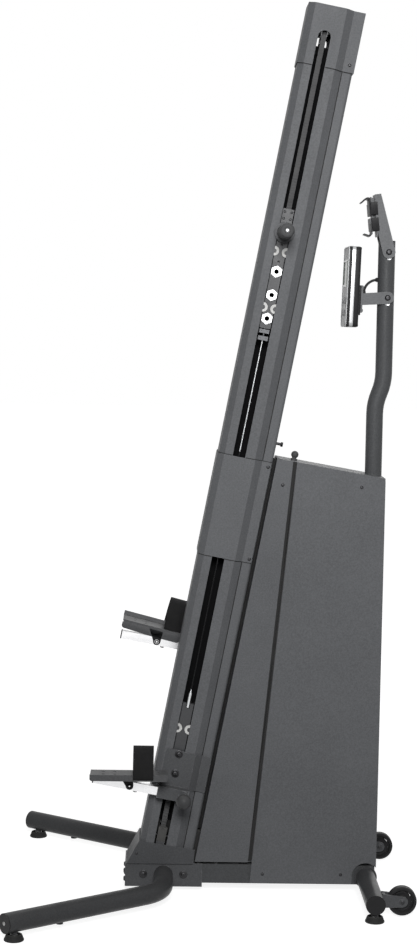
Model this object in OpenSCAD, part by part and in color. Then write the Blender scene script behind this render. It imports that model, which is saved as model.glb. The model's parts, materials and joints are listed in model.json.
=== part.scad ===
// Vertical climber: a leaning mast with a slotted track on each side, two
// counter-moving carriages on one belt, a closed drive housing and a floor base.
// +X runs from the user towards the housing, the user's right is -Y, +Z is up.
// Coordinates called u, y, w belong to the mast: u across it, w along it.

/* [Mast] */
// Lean of the mast from the vertical, degrees
mast_lean = 10.37; // [8:0.01:12]
// Place of the mast's front line on the floor
mast_foot_x = -214; // [-240:1:-190]
// Top of the mast cap, measured along the mast
mast_top = 2400; // [2200:1:2500]
// Depth of the two track covers, front to back
cover_depth = 117; // [110:1:125]
// Half of the width over the two track covers
cover_half = 67; // [64:0.5:70]
// Chamfer along the front of a track cover
front_chamfer = 15.5; // [10:0.5:18]
// Chamfer along the back of a track cover, as depth
rear_chamfer = 20; // [14:1:24]
// Thickness of the folded covers
sheet = 2.5; // [1.5:0.1:3]
// Depth of the spine tube
spine_depth = 50; // [40:1:60]
// Half width of the spine tube
spine_half = 50; // [46:1:54]
// Wall of the spine tube
spine_wall = 3; // [2:0.5:4]
// How far the spine tube stands out behind the covers
spine_out = 29; // [24:1:34]

/* [Track] */
// Middle of the slot, measured from the front of the mast
slot_u = 53.75; // [50:0.25:58]
// Width of the slot
slot_w = 33.5; // [30:0.5:36]
// Top end of the slot, below the top of the mast
slot_below = 66; // [62:1:90]
// Radius of a guide roller
roller_r = 12.5; // [11:0.5:14]
// Distance of a roller's axle from the middle of the slot
roller_off = 16; // [15:0.5:18]
// Radius of the climbing belt's pulleys
pulley_r = 38; // [34:1:40]
// Width of the climbing belt
belt_w = 13.5; // [10:0.5:16]
// Thickness of the climbing belt
belt_t = 3; // [2:0.5:4]
// Top pulley centre, below the top of the mast
top_pulley_below = 54; // [52:1:80]
// Bottom pulley centre along the mast
low_pulley_w = 150; // [146:1:156]

/* [Carriages] */
// How much higher the left carriage stands than the right one
rest_gap = 365; // [300:1:400]
// Pedal tube axis of the right carriage along the mast
foot_w = 290; // [285:1:330]
// Handgrip above the pedal tube
hand_above = 1512; // [1400:1:1540]
// Diameter of the handgrip
grip_d = 38; // [30:1:44]
// Length of the handgrip
grip_len = 116; // [90:1:140]
// Diameter of the handgrip's flange
grip_flange_d = 54; // [46:1:60]
// Radius of the threaded handle sockets
socket_r = 6.35; // [5:0.05:7]
// Distance between the spare handle sockets
socket_pitch = 62.5; // [60:0.5:66]
// Diameter of the tie cable
cable_d = 3; // [2:0.5:5]

/* [Pedals] */
// Length of a pedal
pedal_len = 204; // [180:1:230]
// Width of a pedal
pedal_w = 104; // [95:1:120]
// Tread height above the pedal's pivot
tread_h = 37; // [34:1:42]
// Width of the foot strap
strap_w = 54; // [40:1:60]
// Height of the foot strap above the pivot
strap_h = 115; // [100:1:140]
// Side of the square pedal tube
tube_side = 22; // [18:1:24]
// Side of the square sleeve it slides in
sleeve_side = 32; // [30:1:36]
// Tilt of the left pedal at rest, toes up, degrees
left_tilt = 14.2; // [0:0.1:15]

/* [Base] */
// Diameter of the front legs and the rear crossbar
leg_d = 50.8; // [45:0.1:55]
// Wall of those tubes
leg_wall = 2.5; // [1.5:0.1:4]
// Height of the front legs' axis
leg_z = 46.5; // [45:0.5:50]
// Place of the front legs along the rail
leg_x = -125.4; // [-140:0.1:-110]
// Sideways reach of a front leg before its bend
leg_corner_y = 220; // [200:1:260]
// Forward reach of a front leg after its bend
leg_reach = 388; // [330:1:420]
// Angle between a front leg and the rail, degrees
leg_angle = 36.8; // [30:0.1:45]
// Bend radius of a front leg
leg_bend_r = 120; // [90:1:140]
// Height of the base rail
rail_h = 51; // [45:1:60]
// Underside of the base rail
rail_z = 25; // [22:1:28]
// Half width of the base rail
rail_half = 60; // [57:1:61]
// Rear crossbar place along the rail
bar_x = 417.4; // [400:0.1:430]
// Half length of the rear crossbar
bar_half = 327; // [300:1:360]
// Height of the rear crossbar's axis
bar_z = 48; // [46:0.5:52]
// Diameter of a transport wheel
wheel_d = 75; // [65:1:80]
// Width of a transport wheel
wheel_w = 24; // [18:1:30]
// Distance of the wheels from the middle
wheel_y = 270; // [250:1:285]
// Diameter of a levelling foot at the floor
foot_d = 50; // [40:1:60]

/* [Housing] */
// Half width of the housing
hsg_half = 67; // [65:0.5:70]
// Rear face of the housing
hsg_rear_x = 445; // [436:1:456]
// Height of the housing at its front
hsg_top_z = 1170; // [1000:1:1200]
// Fall of the housing's top, degrees
hsg_fall = 9.65; // [5:0.05:14]
// Gap between the spine and the housing
hsg_gap = 8.7; // [6:0.1:12]
// Thickness of the housing's panels
panel_t = 2; // [1.2:0.1:3]

/* [Post and console] */
// Diameter of the console post
post_d = 45; // [38:1:50]
// Place of the post's lower part
post_x = 418.5; // [412:0.5:424]
// Shift of the post's upper part
post_shift = 21.5; // [16:0.5:26]
// Top of the post
post_top_z = 1746; // [1700:1:1800]
// Pivot height of the console
con_pivot_z = 1598; // [1560:1:1620]
// Height of the console
con_h = 213; // [180:1:230]
// Width of the console
con_w = 210; // [170:1:240]
// Pivot height of the phone holder
hold_pivot_z = 1718.5; // [1700:0.5:1725]

/* [Hidden] */
$fn = 64;

// Clearances
seat = 0.3;         // between separate pieces that lie against each other
run_fit = 0.05;     // radial, shaft in bore

// Mast section
spine_back = cover_depth + spine_out;
slot_top = mast_top - slot_below;
top_pulley_w = mast_top - top_pulley_below;
spine_front = spine_back - spine_depth;
spine_r = 8;
cover_low = 132;
cap_len = 158;
cap_low = mast_top - cap_len;
mid_low = 930;
mid_high = 1202;
rear_edge_y = spine_half + seat;
cover_section = [
    [0, -(cover_half - front_chamfer)], [front_chamfer, -cover_half],
    [cover_depth - rear_chamfer, -cover_half], [cover_depth, -rear_edge_y],
    [cover_depth, rear_edge_y], [cover_depth - rear_chamfer, cover_half],
    [front_chamfer, cover_half], [0, cover_half - front_chamfer]
];
mast_section = [
    [0, -(cover_half - front_chamfer)], [front_chamfer, -cover_half],
    [cover_depth - rear_chamfer, -cover_half], [cover_depth, -rear_edge_y],
    [spine_back, -rear_edge_y], [spine_back, rear_edge_y], [cover_depth, rear_edge_y],
    [cover_depth - rear_chamfer, cover_half], [front_chamfer, cover_half],
    [0, cover_half - front_chamfer]
];

// Track layers, as distances from the middle plane of the mast
rail_in = roller_off + roller_r + seat;   // guide face from the slot's middle
guide_t = 4.2;
cover_in = cover_half - sheet;
belt_in = pulley_r + seat;
belt_out = belt_in + belt_t;
plate_back = 44;
plate_mid = 50;
plate_front = cover_half - 5.5;
roller_len = 10;
roller_y = plate_mid + 0.4;
axle_r = 4;
core_low = 195;
core_high = top_pulley_w - pulley_r - 8;
core_web = 4;
pulley_len = 16;
pulley_shaft_r = 7.5;
drive_r = 22;          // small pulley on the bottom shaft
drive_u = 172;
drive_len = 14;
driven_r = 16;         // pulley on the flywheel shaft
drive_belt_t = 3;
fly_w = 330;
fly_r = 57;
fly_u = 190;
fly_len = 12;

// Carriage stations along the mast, for the right carriage
hand_w = foot_w + hand_above;
clamp_low = hand_w + 29;
clamp_high = hand_w + 63;
hand_low = hand_w - 255;
upper_rollers = [hand_w - 51, hand_w - 201];
foot_high = foot_w + 240;
foot_low = foot_w - 18;
lower_rollers = [foot_w + 170, foot_w + 22];
sockets = [for (i = [0:2]) hand_w - 104 - i * socket_pitch];
plate_half = 14.5;
ear_half = 24;
socket_body_r = 10;
cable_y = (plate_mid + plate_front) / 2;

// Foot bracket
bracket_gap = 2.5;
bracket_t = 3;
bracket_out = cover_half + bracket_gap + bracket_t;
bracket_front = 18;
bracket_rear = spine_back - 2.5;
bracket_high = foot_w + 115;
bolt_rise = [50, 103];
bolt_head_r = 7.5;
bolt_head_h = 4.5;
sleeve_front = 17;
sleeve_rear = 100;
sleeve_y = bracket_out + sleeve_side / 2;
knob_u = 88;
knob_pin_r = 4;
knob_ball_r = 20;
collar_h = 30;

// Pedal, measured from its pivot
pivot_u = -58;
tube_front = -155;
tube_rear = 96;
tube_wall = 2;
pin_r = 4;
ear_t = 3;
ear_in = sleeve_y - tube_side / 2 - seat - ear_t;
ear_out = sleeve_y + tube_side / 2 + seat;
pedal_back = -pedal_len * 0.51;
pedal_edge = ear_in;
pedal_rim = pedal_edge + pedal_w;
rim_h = 9.5;
flange_drop = 7;
pedal_t = 2.5;
strap_x = 9;
strap_t = 3;

// Base
bracket_x0 = -228;
bracket_x1 = -21.5;
bracket_z0 = 15;
bracket_z1 = 78;
bracket_wall = 4;
leg_bolt_off = 54;
leg_bolt_z = 48;
shroud_front_z = 139.5;
shroud_back_z = 117;
stand_bolt_up = 52;
rail_x0 = bracket_x0 + bracket_wall + seat;
rail_x1 = hsg_rear_x - 3;
rail_wall = 3;
leg_r = leg_d / 2;
leg_turn = 90 - leg_angle;
leg_tangent = leg_bend_r * tan(leg_turn / 2);
leg_run = leg_reach / cos(leg_angle) - leg_tangent;
leg_foot_back = 26;
boss_pitch = 135;      // second boss under a front leg, left free
cap_t = 3;
foot_h = 16;
foot_top_d = 41;
stud_r = 5;
stud_z1 = 32;
boss_r = 9;
bar_foot_y = bar_half - 15;
wheel_x = 491;
wheel_z = 45;
fork_gap = 1;
fork_t = 3;
hub_r = 5;

// Housing
hsg_front_u = spine_back + hsg_gap;
hsg_low_z = rail_z + rail_h + 8;
panel_low_z = rail_z + 2;
groove_w = 11;
groove_d = 8;
main_top_x = 211;
main_low_x = 111.2;
main_slope = (main_top_x - main_low_x) / (hsg_top_z - hsg_low_z);
front_line = [mast_x(hsg_front_u, hsg_low_z), tan(mast_lean)];
function main_line(d) = [main_low_x + d, main_slope];
knob_x = 205;
post_r = post_d / 2;
bend_low_z = 1290;
bend_high_z = 1400;
post_bend = 2 * atan(post_shift / (bend_high_z - bend_low_z));
post_bend_r = (bend_high_z - bend_low_z) / 2 / sin(post_bend);
post_up_x = post_x + post_shift;
con_pivot_x = post_up_x + 3;
con_tilt = 1.57;
con_front_x = 322.8;
con_low_z = 1519;
bezel_d = 27;
shell_d = 19;
stay_x = con_front_x + bezel_d + shell_d + 6;
lead_r = 3.5;
lead_reach = post_up_x - post_r - stay_x - 6.5;
lead_z = con_pivot_z + 11 + seat + lead_reach;
hold_pivot_x = post_up_x + 3.5;
arm_in = post_r + 0.5;
arm_t = 3;
claw_lean = 6;

function unit_normal(a, b) = let (d = b - a) [d[1], -d[0]] / norm(d);
// Points of a closed outline, run counter-clockwise, moved outwards by d
function grow(p, d) = [for (i = [0:len(p) - 1])
    let (n = len(p), a = p[(i + n - 1) % n], b = p[i], c = p[(i + 1) % n],
        m = unit_normal(a, b), k = unit_normal(b, c)) b + d * (m + k) / (1 + m * k)];
// X of a point of the mast, from its distance u across and its height z
function mast_x(u, z) = mast_foot_x + (u + z * sin(mast_lean)) / cos(mast_lean);
function hsg_z(x) = hsg_top_z - (x - mast_x(hsg_front_u, hsg_top_z)) * tan(hsg_fall);
function main_x(z) = main_low_x + (z - hsg_low_z) * main_slope;
// Where a leaning line, x at the housing's foot and slope, meets its sloping top
function lean_top(line, up) = let (x0 = mast_x(hsg_front_u, hsg_top_z), t = tan(hsg_fall),
    z = (hsg_top_z + up - (line[0] - line[1] * hsg_low_z - x0) * t) / (1 + line[1] * t))
    [line[0] + line[1] * (z - hsg_low_z), z];
function lean_low(line, z) = [line[0] + line[1] * (z - hsg_low_z), z];

module on_mast() translate([mast_foot_x, 0, 0]) rotate([0, mast_lean, 0]) children();
module both_sides() {
    children();
    mirror([0, 1, 0]) children();
}
// Puts a carriage piece, drawn for the left side at the right one's height, in place
module on_track(side) on_mast() {
    if (side == "left") translate([0, 0, rest_gap]) children();
    else mirror([0, 1, 0]) children();
}
module along_y(y0, y1) translate([0, y1, 0]) rotate([90, 0, 0]) linear_extrude(y1 - y0) children();
module rod_y(r, y0, y1) translate([0, y0, 0]) rotate([-90, 0, 0]) cylinder(r = r, h = y1 - y0);
module rod_u(r, u0, u1) translate([u0, 0, 0]) rotate([0, 90, 0]) cylinder(r = r, h = u1 - u0);
module block(lo, hi) translate(lo) cube(hi - lo);
module round_rect(size, r) {
    translate([r, 0]) square([size[0] - 2 * r, size[1]]);
    translate([0, r]) square([size[0], size[1] - 2 * r]);
    for (x = [r, size[0] - r], y = [r, size[1] - r]) translate([x, y]) circle(r);
}
module button_head(r, h) {
    // domed screw head with a hexagon socket, standing on z = 0
    difference() {
        intersection() {
            cylinder(r = r, h = h);
            translate([0, 0, h - r * 1.35]) sphere(r = r * 1.35);
        }
        translate([0, 0, h * 0.45]) cylinder(r = r * 0.45, h = h, $fn = 6);
    }
}
module head_y(r, h) rotate([-90, 0, 0]) button_head(r, h);
module ring(outer, inner) difference() {
    polygon(outer);
    polygon(inner);
}
// Outline round two pulleys on the y axis, with centres at 0 and d
module belt_loop(r1, r2, d) {
    s = (r1 - r2) / d;
    c = sqrt(1 - s * s);
    circle(r1);
    translate([0, d]) circle(r2);
    polygon([[r1 * c, r1 * s], [r2 * c, d + r2 * s], [-r2 * c, d + r2 * s], [-r1 * c, r1 * s]]);
}

// ---- Base ----
module base_rail() color("dimgray") difference() {
    block([rail_x0, -rail_half, rail_z], [rail_x1, rail_half, rail_z + rail_h]);
    block([rail_x0 - 1, -rail_half + rail_wall, rail_z + rail_wall],
        [rail_x1 + 1, rail_half - rail_wall, rail_z + rail_h - rail_wall]);
    translate([bar_x, 0, bar_z]) rod_y(leg_r + seat, -rail_half - 1, rail_half + 1);
}
module front_leg_bracket() color("dimgray") difference() {
    block([bracket_x0, -rail_half - seat - bracket_wall, bracket_z0],
        [bracket_x1, rail_half + seat + bracket_wall, bracket_z1]);
    block([bracket_x0 + bracket_wall, -rail_half - seat, bracket_z0 - 1],
        [bracket_x1 + 1, rail_half + seat, bracket_z1 + 1]);
    translate([leg_x, 0, leg_z]) rod_y(leg_r + seat, -rail_half - 20, rail_half + 20);
}
module tube_y(r, y0, y1) translate([0, y0, 0]) rotate([-90, 0, 0]) linear_extrude(y1 - y0)
    tube_section(r);
module tube_section(r) difference() {
    circle(r);
    circle(r - leg_wall);
}
// A bend is a hair thicker than the straight tube, inside and out
module bend(r, turn, path_r) rotate_extrude(angle = turn) translate([path_r, 0]) difference() {
    circle(r + 0.05);
    circle(r - leg_wall - 0.05);
}
// Puts a piece at the far end of a front leg, +Y running out of the tube
module at_leg_end(back) translate([leg_x - leg_bend_r, leg_corner_y - leg_tangent, 0])
    rotate([0, 0, leg_turn]) translate([leg_bend_r, leg_run - back, 0]) children();
module front_legs() color("#2e2e2e") both_sides() difference() {
    union() {
        translate([leg_x, 0, leg_z]) tube_y(leg_r, rail_half + seat, leg_corner_y - leg_tangent);
        translate([leg_x - leg_bend_r, leg_corner_y - leg_tangent, leg_z])
            bend(leg_r, leg_turn, leg_bend_r);
        at_leg_end(0) translate([0, 0, leg_z]) tube_y(leg_r, -leg_run, 0);
        at_leg_end(leg_foot_back) foot_boss(leg_z);
        at_leg_end(leg_foot_back + boss_pitch) foot_boss(leg_z);
    }
    at_leg_end(leg_foot_back) cylinder(r = stud_r + 0.1, h = leg_z);
}
// Short boss under a tube, ending inside the tube's wall
module foot_boss(z) translate([0, 0, foot_h + 2]) cylinder(r = boss_r, h = z - leg_r + 2.3 - foot_h - 2);
module rear_crossbar() color("#2e2e2e") difference() {
    union() {
        translate([bar_x, 0, bar_z]) rod_y(leg_r, -bar_half, bar_half);
        both_sides() {
            translate([bar_x, 0, bar_z]) rod_y(leg_r + 5, hsg_half + 1, hsg_half + 4);
            translate([bar_x, bar_foot_y, 0]) foot_boss(bar_z);
        }
    }
    translate([bar_x, 0, bar_z]) rod_y(leg_r - leg_wall, -bar_half - 1, bar_half + 1);
    both_sides() translate([bar_x, bar_foot_y, 0]) cylinder(r = stud_r + 0.1, h = bar_z);
}
module end_cap() {
    plug_r = leg_r - leg_wall - run_fit;
    rod_y(leg_r, 0, cap_t);
    rod_y(plug_r, -10, 0.1);
}
module tube_end_caps() color("#202020") {
    both_sides() {
        at_leg_end(0) translate([0, 0, leg_z]) end_cap();
        translate([bar_x, bar_half, bar_z]) end_cap();
    }
    translate([post_up_x, 0, post_top_z]) post_cap();
}
module post_cap() {
    cylinder(r = post_r, h = cap_t);
    translate([0, 0, -10]) cylinder(r = post_r - leg_wall - run_fit, h = 10.1);
}
module levelling_foot() {
    color("#262626") difference() {
        cylinder(d1 = foot_d, d2 = foot_top_d, h = foot_h);
        translate([0, 0, foot_h - 5]) cylinder(d = foot_top_d - 9, h = 6);
    }
    color("silver") cylinder(r = stud_r, h = stud_z1);
    color("silver") translate([0, 0, foot_h - 5]) cylinder(r = boss_r, h = 5, $fn = 6);
}
module levelling_feet() both_sides() {
    at_leg_end(leg_foot_back) levelling_foot();
    translate([bar_x, bar_foot_y, 0]) levelling_foot();
}
module fork_plate() translate([0, 0, 0]) difference() {
    union() {
        circle(14);
        polygon([[0, 14], [0, -14], [bar_x + leg_r - 4 - wheel_x, -16],
            [bar_x + leg_r - 4 - wheel_x, 20]]);
    }
    translate([bar_x - wheel_x, bar_z - wheel_z]) circle(leg_r + 0.1);
}
module wheel_forks() color("#2a2a2a") both_sides() translate([wheel_x, wheel_y, wheel_z]) {
    inner = wheel_w / 2 + fork_gap;
    for (s = [-1, 1]) mirror([0, s < 0 ? 1 : 0, 0]) {
        along_y(inner, inner + fork_t) fork_plate();
        translate([0, inner + fork_t, 0]) head_y(9, 5);
    }
    rod_y(hub_r, -inner - 0.1, inner + 0.1);
    difference() {
        block([bar_x + leg_r - 3 - wheel_x, -inner, -12], [bar_x + leg_r + 4 - wheel_x, inner, 18]);
        translate([bar_x - wheel_x, 0, bar_z - wheel_z]) rod_y(leg_r + 0.1, -30, 30);
    }
}
module transport_wheel() color("#1c1c1c") rotate([-90, 0, 0]) difference() {
    r = wheel_d / 2;
    half = wheel_w / 2;
    edge = 2.5;
    web = 4;
    rotate_extrude() polygon([
        [hub_r + run_fit, -half], [r * 0.34, -half], [r * 0.38, -web], [r * 0.76, -web],
        [r * 0.8, -half], [r - edge, -half], [r, -half + edge], [r, half - edge],
        [r - edge, half], [r * 0.8, half], [r * 0.76, web], [r * 0.38, web],
        [r * 0.34, half], [hub_r + run_fit, half]
    ]);
    // curved openings in the web
    for (a = [0:72:288]) rotate([0, 0, a]) translate([0, 0, -web - 1])
        rotate_extrude(angle = 44) translate([r * 0.46, 0]) square([r * 0.22, 2 * web + 2]);
}
module right_transport_wheel() translate([wheel_x, -wheel_y, wheel_z]) transport_wheel();
module left_transport_wheel() translate([wheel_x, wheel_y, wheel_z]) transport_wheel();

// ---- Mast ----
module above_rail() intersection() {
    children();
    block([-mast_top, -mast_top, rail_z + rail_h], [mast_top, mast_top, 2 * mast_top]);
}
module mast_spine() color("#6a6a6c") above_rail() on_mast() difference() {
    translate([spine_front, -spine_half, 0]) linear_extrude(mast_top - 6)
        round_rect([spine_depth, 2 * spine_half], spine_r);
    translate([spine_front + spine_wall, -spine_half + spine_wall, -1])
        linear_extrude(mast_top) round_rect(
            [spine_depth - 2 * spine_wall, 2 * (spine_half - spine_wall)], spine_r - spine_wall);
    translate([0, 0, low_pulley_w]) rod_u(pulley_shaft_r + run_fit, spine_front - 1, spine_back + 1);
}
module slot_cut(y0, y1, low, w) translate([slot_u, 0, 0]) along_y(y0, y1) {
    translate([-w / 2, low]) square([w, slot_top - slot_w / 2 - low]);
    translate([0, slot_top - slot_w / 2]) circle(w / 2);
}
module track_cover() difference() {
    translate([0, 0, cover_low]) linear_extrude(mast_top - 6 - cover_low) difference() {
        ring(cover_section, grow(cover_section, -sheet));
        translate([-cover_half, -2 * cover_half])
            square([cover_depth + 2 * cover_half, 2 * cover_half + seat / 2]);
        translate([cover_depth - 2 * sheet, -rear_edge_y]) square([20, 2 * rear_edge_y]);
    }
    slot_cut(cover_half - 2 * sheet, cover_half + 1, cover_low - 1, slot_w);
}
module left_track_cover() color("#66676a") on_mast() track_cover();
module right_track_cover() color("#66676a") on_mast() mirror([0, 1, 0]) track_cover();
module mast_core() color("#101010") on_mast() translate([0, 0, core_low])
    linear_extrude(core_high - core_low) {
        deep = cover_in - seat;
        for (s = [-1, 1]) translate([slot_u + s * (rail_in + guide_t / 2) - guide_t / 2, -deep])
            square([guide_t, 2 * deep]);
        translate([slot_u - rail_in, -core_web / 2])
            square([spine_front - seat - slot_u + rail_in, core_web]);
        translate([spine_front - seat - 4, -30]) square([4, 60]);
    }
module mast_cap() color("#66676a") on_mast() difference() {
    union() {
        translate([0, 0, cap_low]) linear_extrude(cap_len)
            ring(grow(mast_section, seat + sheet), grow(mast_section, seat));
        translate([0, 0, mast_top - sheet]) linear_extrude(sheet)
            polygon(grow(mast_section, seat + sheet));
    }
    both_sides() slot_cut(cover_half - 1, cover_half + 10, cap_low - 1, slot_w);
}
module mid_cover() color("#606163") on_mast() translate([0, 0, mid_low])
    linear_extrude(mid_high - mid_low) difference() {
        ring(grow(mast_section, seat + sheet), grow(mast_section, seat));
        translate([spine_back - 3, -cover_half]) square([cover_half, 2 * cover_half]);
    }
module mast_foot_shroud() color("#58595b") {
    side = cover_half + 0.5;
    base = bracket_z1 + seat;
    front = [mast_x(-24, base), base];
    peak = [mast_x(-seat - sheet - 0.4, shroud_front_z), shroud_front_z];
    back = [mast_x(spine_back + 2, shroud_back_z), shroud_back_z];
    heel = [mast_x(spine_back + 6, base), base];
    difference() {
        along_y(-side - sheet, side + sheet) polygon([front, heel, back, peak]);
        along_y(-side, side) polygon([front + [sheet + 1.5, -1], heel + [9, -1], back + [9, 15],
            peak + [20, 15], peak + [sheet, 0]]);
    }
    // lips that rest on the leg bracket
    both_sides() block([front[0] + 4, rail_half - 1, base], [heel[0] - 8, side + 0.1, base + sheet]);
}

// ---- Belt drive ----
module pulley_mounts() {
    half = pulley_len / 2 + 2;
    color("#3a3a3a") on_mast() {
        // top bracket, hung from the spine over the pulley
        for (s = [-1, 1]) translate([slot_u + s * (half + 2) - 2, -12, top_pulley_w - 8])
            cube([4, 24, 52]);
        block([slot_u - half - 4, -12, top_pulley_w + belt_out + 1.5],
            [spine_front, 12, top_pulley_w + belt_out + 5.5]);
        block([slot_u + half + 4, -12, top_pulley_w - 8], [spine_front, 12, top_pulley_w + 10]);
        translate([0, 0, top_pulley_w]) rod_u(5, slot_u - half - 3, slot_u + half + 3);
    }
    color("#3a3a3a") above_rail() on_mast() {
        // front bearing of the bottom shaft
        difference() {
            block([slot_u - 26, -24, 0], [slot_u - 18, 24, low_pulley_w + 20]);
            translate([0, 0, low_pulley_w])
                rod_u(pulley_shaft_r + run_fit, slot_u - 30, slot_u - 10);
        }
        both_sides() block([slot_u - 11, belt_out + 5, 0], [slot_u + 11, rail_half - 1, low_pulley_w]);
    }
}
module slot_bumpers() color("#55524e") on_mast() both_sides() difference() {
    block([slot_u - 11.5, belt_out + 4, low_pulley_w], [slot_u + 11.5, plate_front, core_low - 8]);
    translate([slot_u, 0, core_low - 14]) rod_y(4, plate_front - 3, plate_front + 1);
}
module pulley_body(bore) rotate([0, 90, 0]) difference() {
    union() {
        translate([0, 0, -pulley_len / 2]) cylinder(r = pulley_r, h = pulley_len);
        for (s = [-1, 1]) translate([0, 0, s * (pulley_len / 2 - 0.5) - 0.5])
            cylinder(r = pulley_r + 0.2, h = 1);
    }
    if (bore > 0) cylinder(r = bore, h = 40, center = true);
    for (a = [0:60:300]) rotate([0, 0, a]) translate([pulley_r * 0.62, 0, 0])
        cylinder(r = 7, h = 40, center = true);
}
module top_pulley() color("silver") on_mast() translate([slot_u, 0, top_pulley_w])
    pulley_body(5 + run_fit);
module bottom_pulley() color("silver") on_mast() translate([0, 0, low_pulley_w]) {
    translate([slot_u, 0, 0]) pulley_body(0);
    rod_u(pulley_shaft_r, slot_u - 28, drive_u + drive_len + 2);
    rod_u(drive_r, drive_u, drive_u + drive_len);
}
module half_belt() difference() {
    circle(belt_out);
    circle(belt_in);
    translate([-belt_out - 1, -2 * belt_out]) square([2 * belt_out + 2, 2 * belt_out]);
}
module belt_section(right_end, left_end) {
    half_belt();
    for (e = [[-1, right_end], [1, left_end]])
        translate([e[0] > 0 ? belt_in : -belt_out, -e[1]]) square([belt_t, e[1]]);
}
module in_belt_plane(w) on_mast() translate([slot_u - belt_w / 2, 0, w])
    rotate([90, 0, 90]) linear_extrude(belt_w) children();
module upper_belt() color("#202020") in_belt_plane(top_pulley_w)
    belt_section(top_pulley_w - clamp_low - 4, top_pulley_w - clamp_low - 4 - rest_gap);
module lower_belt() color("#202020") in_belt_plane(low_pulley_w) mirror([0, 1, 0])
    belt_section(foot_low + 24 - low_pulley_w, foot_low + 24 + rest_gap - low_pulley_w);
module flywheel() color("#777777") on_mast() translate([0, 0, fly_w]) {
    rod_u(pulley_shaft_r, drive_u - 11, fly_u + fly_len + 20);
    rod_u(driven_r, drive_u, drive_u + drive_len);
    difference() {
        rod_u(fly_r, fly_u, fly_u + fly_len);
        rod_u(fly_r - 12, fly_u - 1, fly_u + 4);
        rod_u(fly_r - 12, fly_u + fly_len - 4, fly_u + fly_len + 1);
    }
    rod_u(14, fly_u - 3, fly_u + fly_len + 3);
}
module drive_belt() color("#202020") on_mast() translate([drive_u + 1, 0, low_pulley_w])
    rotate([90, 0, 90]) linear_extrude(drive_len - 2) difference() {
        belt_loop(drive_r + seat + drive_belt_t, driven_r + seat + drive_belt_t, fly_w - low_pulley_w);
        belt_loop(drive_r + seat, driven_r + seat, fly_w - low_pulley_w);
    }
module brake_frame() color("#4a4a4a") {
    front_u = drive_u - 10;
    rear_u = fly_u + fly_len + 8;
    above_rail() on_mast() {
        for (u = [front_u, rear_u]) difference() {
            block([u, -56, 0], [u + 5, 56, fly_w + 84]);
            for (w = u == front_u ? [low_pulley_w, fly_w] : [fly_w]) translate([0, 0, w])
                rod_u(pulley_shaft_r + run_fit, u - 1, u + 6);
        }
    }
    on_mast() {
        block([front_u, -20, fly_w + 74], [rear_u + 5, 20, fly_w + 79]);
        // magnet shoes on both faces of the flywheel's rim
        for (u = [fly_u - 9, fly_u + fly_len + 2]) block([u, -18, fly_w + 40], [u + 7, 18, fly_w + 75]);
    }
}

// ---- Housing ----
module hsg_outline(a, b, low, up = 0)
    // side outline between two leaning lines, under the sloping top
    polygon([lean_low(a, low), lean_low(b, low), lean_top(b, up), lean_top(a, up)]);
module main_outline() {
    r = 10;
    top = hsg_z(hsg_rear_x);
    difference() {
        polygon([[main_x(panel_low_z), panel_low_z], [hsg_rear_x, panel_low_z],
            [hsg_rear_x, top], lean_top(main_line(0), 0)]);
        difference() {
            translate([hsg_rear_x - r, top - r + 1.5]) square([r + 1, r + 8]);
            translate([hsg_rear_x - r, top - r + 1.5]) circle(r);
        }
        translate([bar_x, bar_z]) circle(leg_r + 12);
        translate([bar_x - leg_r - 12, 0]) square([100, bar_z]);
    }
}
module housing_side() difference() {
    union() {
        along_y(hsg_half - panel_t, hsg_half) main_outline();
        // folded front edge beside the groove
        along_y(hsg_half - groove_d - 2, hsg_half - panel_t / 2) intersection() {
            main_outline();
            hsg_outline(main_line(-1), main_line(panel_t), hsg_low_z);
        }
    }
    for (p = panel_screws) if (p[0] != panel_screws[0][0])
        translate([p[0], 0, p[1]]) rod_y(2, hsg_half - 5, hsg_half + 1);
}
panel_screws = [[172.9, 1099.5], [382.1, 1096.8], [350.3, 53], [140.2, 52.5]];
module housing_left_panel() color("#66676a") housing_side();
module housing_right_panel() color("#66676a") mirror([0, 1, 0]) housing_side();
module housing_front_panel() color("#66676a") {
    side = hsg_half - 1;
    difference() {
        along_y(-side, side) hsg_outline(front_line, main_line(-groove_w), hsg_low_z);
        along_y(-side + panel_t, side - panel_t) hsg_outline(
            front_line + [panel_t, 0], main_line(20 - groove_w), hsg_low_z - 5, 6);
        on_mast() translate([0, 0, low_pulley_w]) rod_u(14, hsg_front_u - 5, hsg_front_u + 12);
    }
    // groove: steps in and passes behind the main panel
    both_sides() {
        along_y(side - groove_d, side)
            hsg_outline(main_line(-groove_w - panel_t), main_line(-groove_w), hsg_low_z);
        along_y(side - groove_d, side - groove_d + panel_t)
            hsg_outline(main_line(-groove_w - panel_t), main_line(-seat), hsg_low_z);
    }
}
module housing_rear_cover() color("#66676a") {
    side = hsg_half - 1 - panel_t - seat;
    front = mast_x(hsg_front_u, hsg_top_z) + panel_t + 1;
    difference() {
        union() {
            along_y(-side, side) polygon([[front, hsg_z(front) - 3], [hsg_rear_x, hsg_z(hsg_rear_x) - 3],
                [hsg_rear_x, hsg_z(hsg_rear_x)], [front, hsg_z(front)]]);
            block([hsg_rear_x - panel_t, -side, 90], [hsg_rear_x, side, hsg_z(hsg_rear_x) - 1]);
        }
        // clear of the groove and the folded edge beside it
        both_sides() along_y(hsg_half - groove_d - 2 - seat, hsg_half) hsg_outline(
            main_line(-groove_w - panel_t - seat), main_line(panel_t + seat), hsg_top_z - 200, 5);
        translate([post_x, 0, 1000]) cylinder(r = post_r + seat, h = 300);
        translate([knob_x, 0, hsg_z(knob_x)]) rotate([0, hsg_fall, 0])
            cylinder(r = 4 + run_fit, h = 30, center = true);
    }
}
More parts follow.
